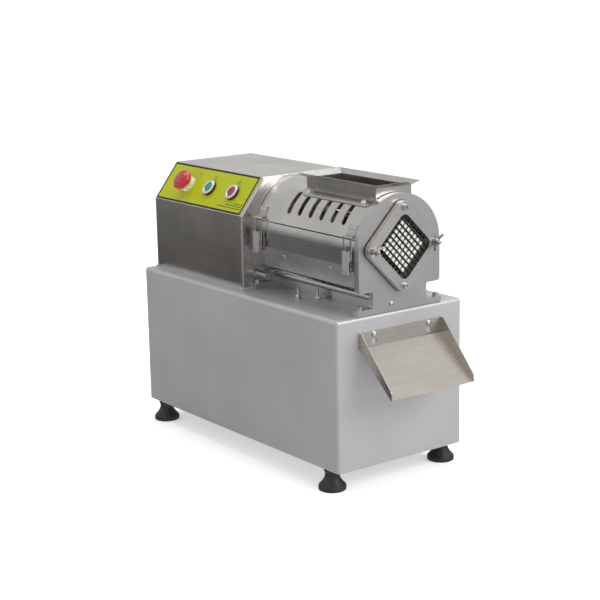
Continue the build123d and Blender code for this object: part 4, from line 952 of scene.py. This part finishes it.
def wing_nut(name, node, lean, material):
    """A cast wing nut: a tapered hub with two rounded ears that sweep up and out."""
    low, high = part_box(node)
    side = -1 if (low.y + high.y) < 0 else 1
    stud = next(box for box in stud_boxes if (box[0].y < 0) == (side < 0))
    y, z = (stud[0].y + stud[1].y) / 2, (stud[0].z + stud[1].z) / 2
    build = bmesh.new()
    turned(build, [(0.0032, 0), (0.0065, 0), (0.0065, 0.0012), (0.0056, 0.0050),
                   (0.0052, 0.0080), (0.0046, 0.0090), (0.0032, 0.0090)], 40, ring=True)
    for way in (-1, 1):
        rows = []
        steps = 12
        for i in range(steps + 1):
            t = i / steps
            out = way * (0.0038 + 0.0132 * t)
            middle = 0.0046 + 0.0062 * t ** 1.5
            half = 0.0033 * (1 - 0.15 * t) * math.sqrt(max(0.03, 1 - t ** 7))
            thick = 0.0015 * (1 - 0.35 * t) * math.sqrt(max(0.05, 1 - t ** 9))
            rows.append([build.verts.new((thick * math.cos(a), out,
                                          middle + half * math.sin(a) + 0.0012 * t * math.sin(a)))
                         for a in (math.tau * k / 16 for k in range(16))])
        stitch(build, rows)
        build.faces.new(rows[0])
        build.faces.new(rows[-1])
    place = (Matrix.Translation((low.x, y, z)) @ Matrix.Rotation(lean, 4, "X")
             @ Matrix.Rotation(math.pi / 2, 4, "Y"))
    build.transform(place)
    nut = solid(name, build, 45)
    nut.data.materials.append(material)
    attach(nut, node)
    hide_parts(node)
    return nut


dull = finish("cast_wing_steel", (0.40, 0.39, 0.38), 0.34, metallic=1.0, grain=(160, 160, 160),
              spread=0.10, tint=0.15, bump=0.3, depth=0.0002)
wing_nut("wing_nut_near_cast", "wing_nut_near", math.radians(30), dull)
wing_nut("wing_nut_far_cast", "wing_nut_far", math.radians(55), dull)


# ---- trough, guide and pusher ----
# A folded V trough leads the food to the knife. A polished rod runs through a bronze bush and
# drives a white nylon head whose square teeth push each strip clear of its cell.
dress(brushed, "feed_trough")
dress(finish("bush_bronze", (0.30, 0.185, 0.085), 0.42, metallic=1.0, grain=(60, 300, 300),
             tint=0.12), "guide_bush")
polished = finish("polished_rod", (0.70, 0.69, 0.68), 0.14, metallic=1.0, grain=(30, 500, 500),
                  spread=0.04, tint=0.05, bump=0.05)
dress(polished, "push_rod")
dress(finish("white_nylon", (0.74, 0.73, 0.69), 0.45, grain=(200, 200, 200), tint=0.05,
             bump=0.15, depth=0.0002), "pusher_head")


# ---- drive ----
# Under the deck, a motor turns a worm reducer through a belt. The reducer's upright shaft
# carries a crank that works the pusher through a short connecting rod.
machined = finish("machined_steel", (0.50, 0.49, 0.48), 0.30, metallic=1.0, grain=(40, 260, 260),
                  spread=0.08, tint=0.10, bump=0.15)
dress(machined, "crosshead", "connecting_rod", "crank_arm", "output_shaft", "worm_shaft",
      "motor_shaft")
dress(finish("cast_iron_pulley", (0.22, 0.22, 0.225), 0.55, metallic=0.7, grain=(300, 60, 300),
             tint=0.15, bump=0.3, depth=0.0002), "input_pulley", "motor_pulley")
enamel = finish("grey_machine_enamel", (0.17, 0.20, 0.23), 0.40, grain=(150, 150, 150),
                spread=0.08, tint=0.10, bump=0.35, depth=0.0003)
dress(enamel, "gearbox_case", "motor")
dress(finish("belt_rubber", (0.020, 0.019, 0.018), 0.62, grain=(60, 700, 60), tint=0.2, bump=0.4,
             depth=0.0003), "drive_belt")


# ---- latches and hinge ----
# Two stainless draw latches on the near side pull the cover shut: a riveted base, a lever, a
# wire bail and a hooked keeper on the cover. A piano hinge runs along the far side.
bright = finish("pressed_stainless", (0.66, 0.65, 0.64), 0.20, metallic=1.0, grain=(240, 240, 60),
                spread=0.06, tint=0.10, bump=0.12)
dress(bright, "latch_bases", "latch_bail_rear", "latch_bail_front", "hinge_fixed_leaf",
      "hinge_cover_leaf")
stamped = finish("stamped_latch_steel", (0.46, 0.45, 0.44), 0.38, metallic=0.55,
                 grain=(240, 240, 60), spread=0.06, tint=0.10, bump=0.12)
dress(stamped, "latch_keepers", "latch_lever_rear", "latch_lever_front")
slope = math.radians(22.0)
ray = Vector((0, -math.cos(slope), math.sin(slope)))
up_plate = Vector((0, math.sin(slope), math.cos(slope)))
rivet_aside = 0.0036
rivet_up = 0.0035
places = []
for low, high in solids_of("latch_keepers"):
    middle = (low + high) / 2
    for aside in (-rivet_aside, rivet_aside):
        at = Vector((middle.x + aside, 0, axis_z)) + ray * seat_r
        places.append((tuple(at + up_plate * rivet_up), tuple(ray)))
build = bmesh.new()
turned(build, domed(0.0022, 0.0011, 0.0012, 0.001, 0.3), 24)
rivets = set_out("keeper_rivets", solid("rivet", build), places, zinc, math.tau, 13)
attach(rivets, "cover")


# ---- chute ----
# One folded sheet hooks over two screws by its keyholes: a back plate, a sloping floor and
# two tapering side walls. The inside is polished so that the cut strips slide.
dress(finish("chute_sheet", (0.62, 0.585, 0.535), 0.28, metallic=1.0, grain=(420, 9, 420),
             spread=0.03, tint=0.06, cloud_size=12, bump=0.03, streak=0.06), "chute")


# ---- cover sensor ----
# A threaded barrel sensor beside the rear plate's foot tells the drive that the cover is shut.
dress(finish("sensor_nickel", (0.60, 0.59, 0.57), 0.30, metallic=1.0, grain=(900, 60, 60),
             spread=0.08, tint=0.10, bump=0.5, depth=0.0004), "cover_sensor")


# ---- cable gland ----
# A black nylon gland in the base's rear wall grips the supply cord: a hexagon body and a
# domed clamping nut with finger ribs round it.
dress(black, "cable_gland")
gland_low, gland_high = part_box("cable_gland")
gland_middle = (gland_low + gland_high) / 2
rib_count = 18
rib_length = 0.010
rib_w = 0.0016
cap_reach = 0.0105
cap_r = (gland_high.z - gland_low.z) / 2 * 0.80
places = []
for k in range(rib_count):
    turn = math.tau * k / rib_count
    ray = Vector((0, math.cos(turn), math.sin(turn)))
    at = Vector((gland_low.x + cap_reach, gland_middle.y, gland_middle.z)) + ray * cap_r
    places.append((tuple(at), tuple(ray)))
build = bmesh.new()
bmesh.ops.create_cube(build, size=1.0, matrix=Matrix.Diagonal((rib_length, rib_w, rib_w, 1)))
gland_ribs = set_out("gland_cap_ribs", solid("rib", build), places, black, 0.0, 7)
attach(gland_ribs, "base")
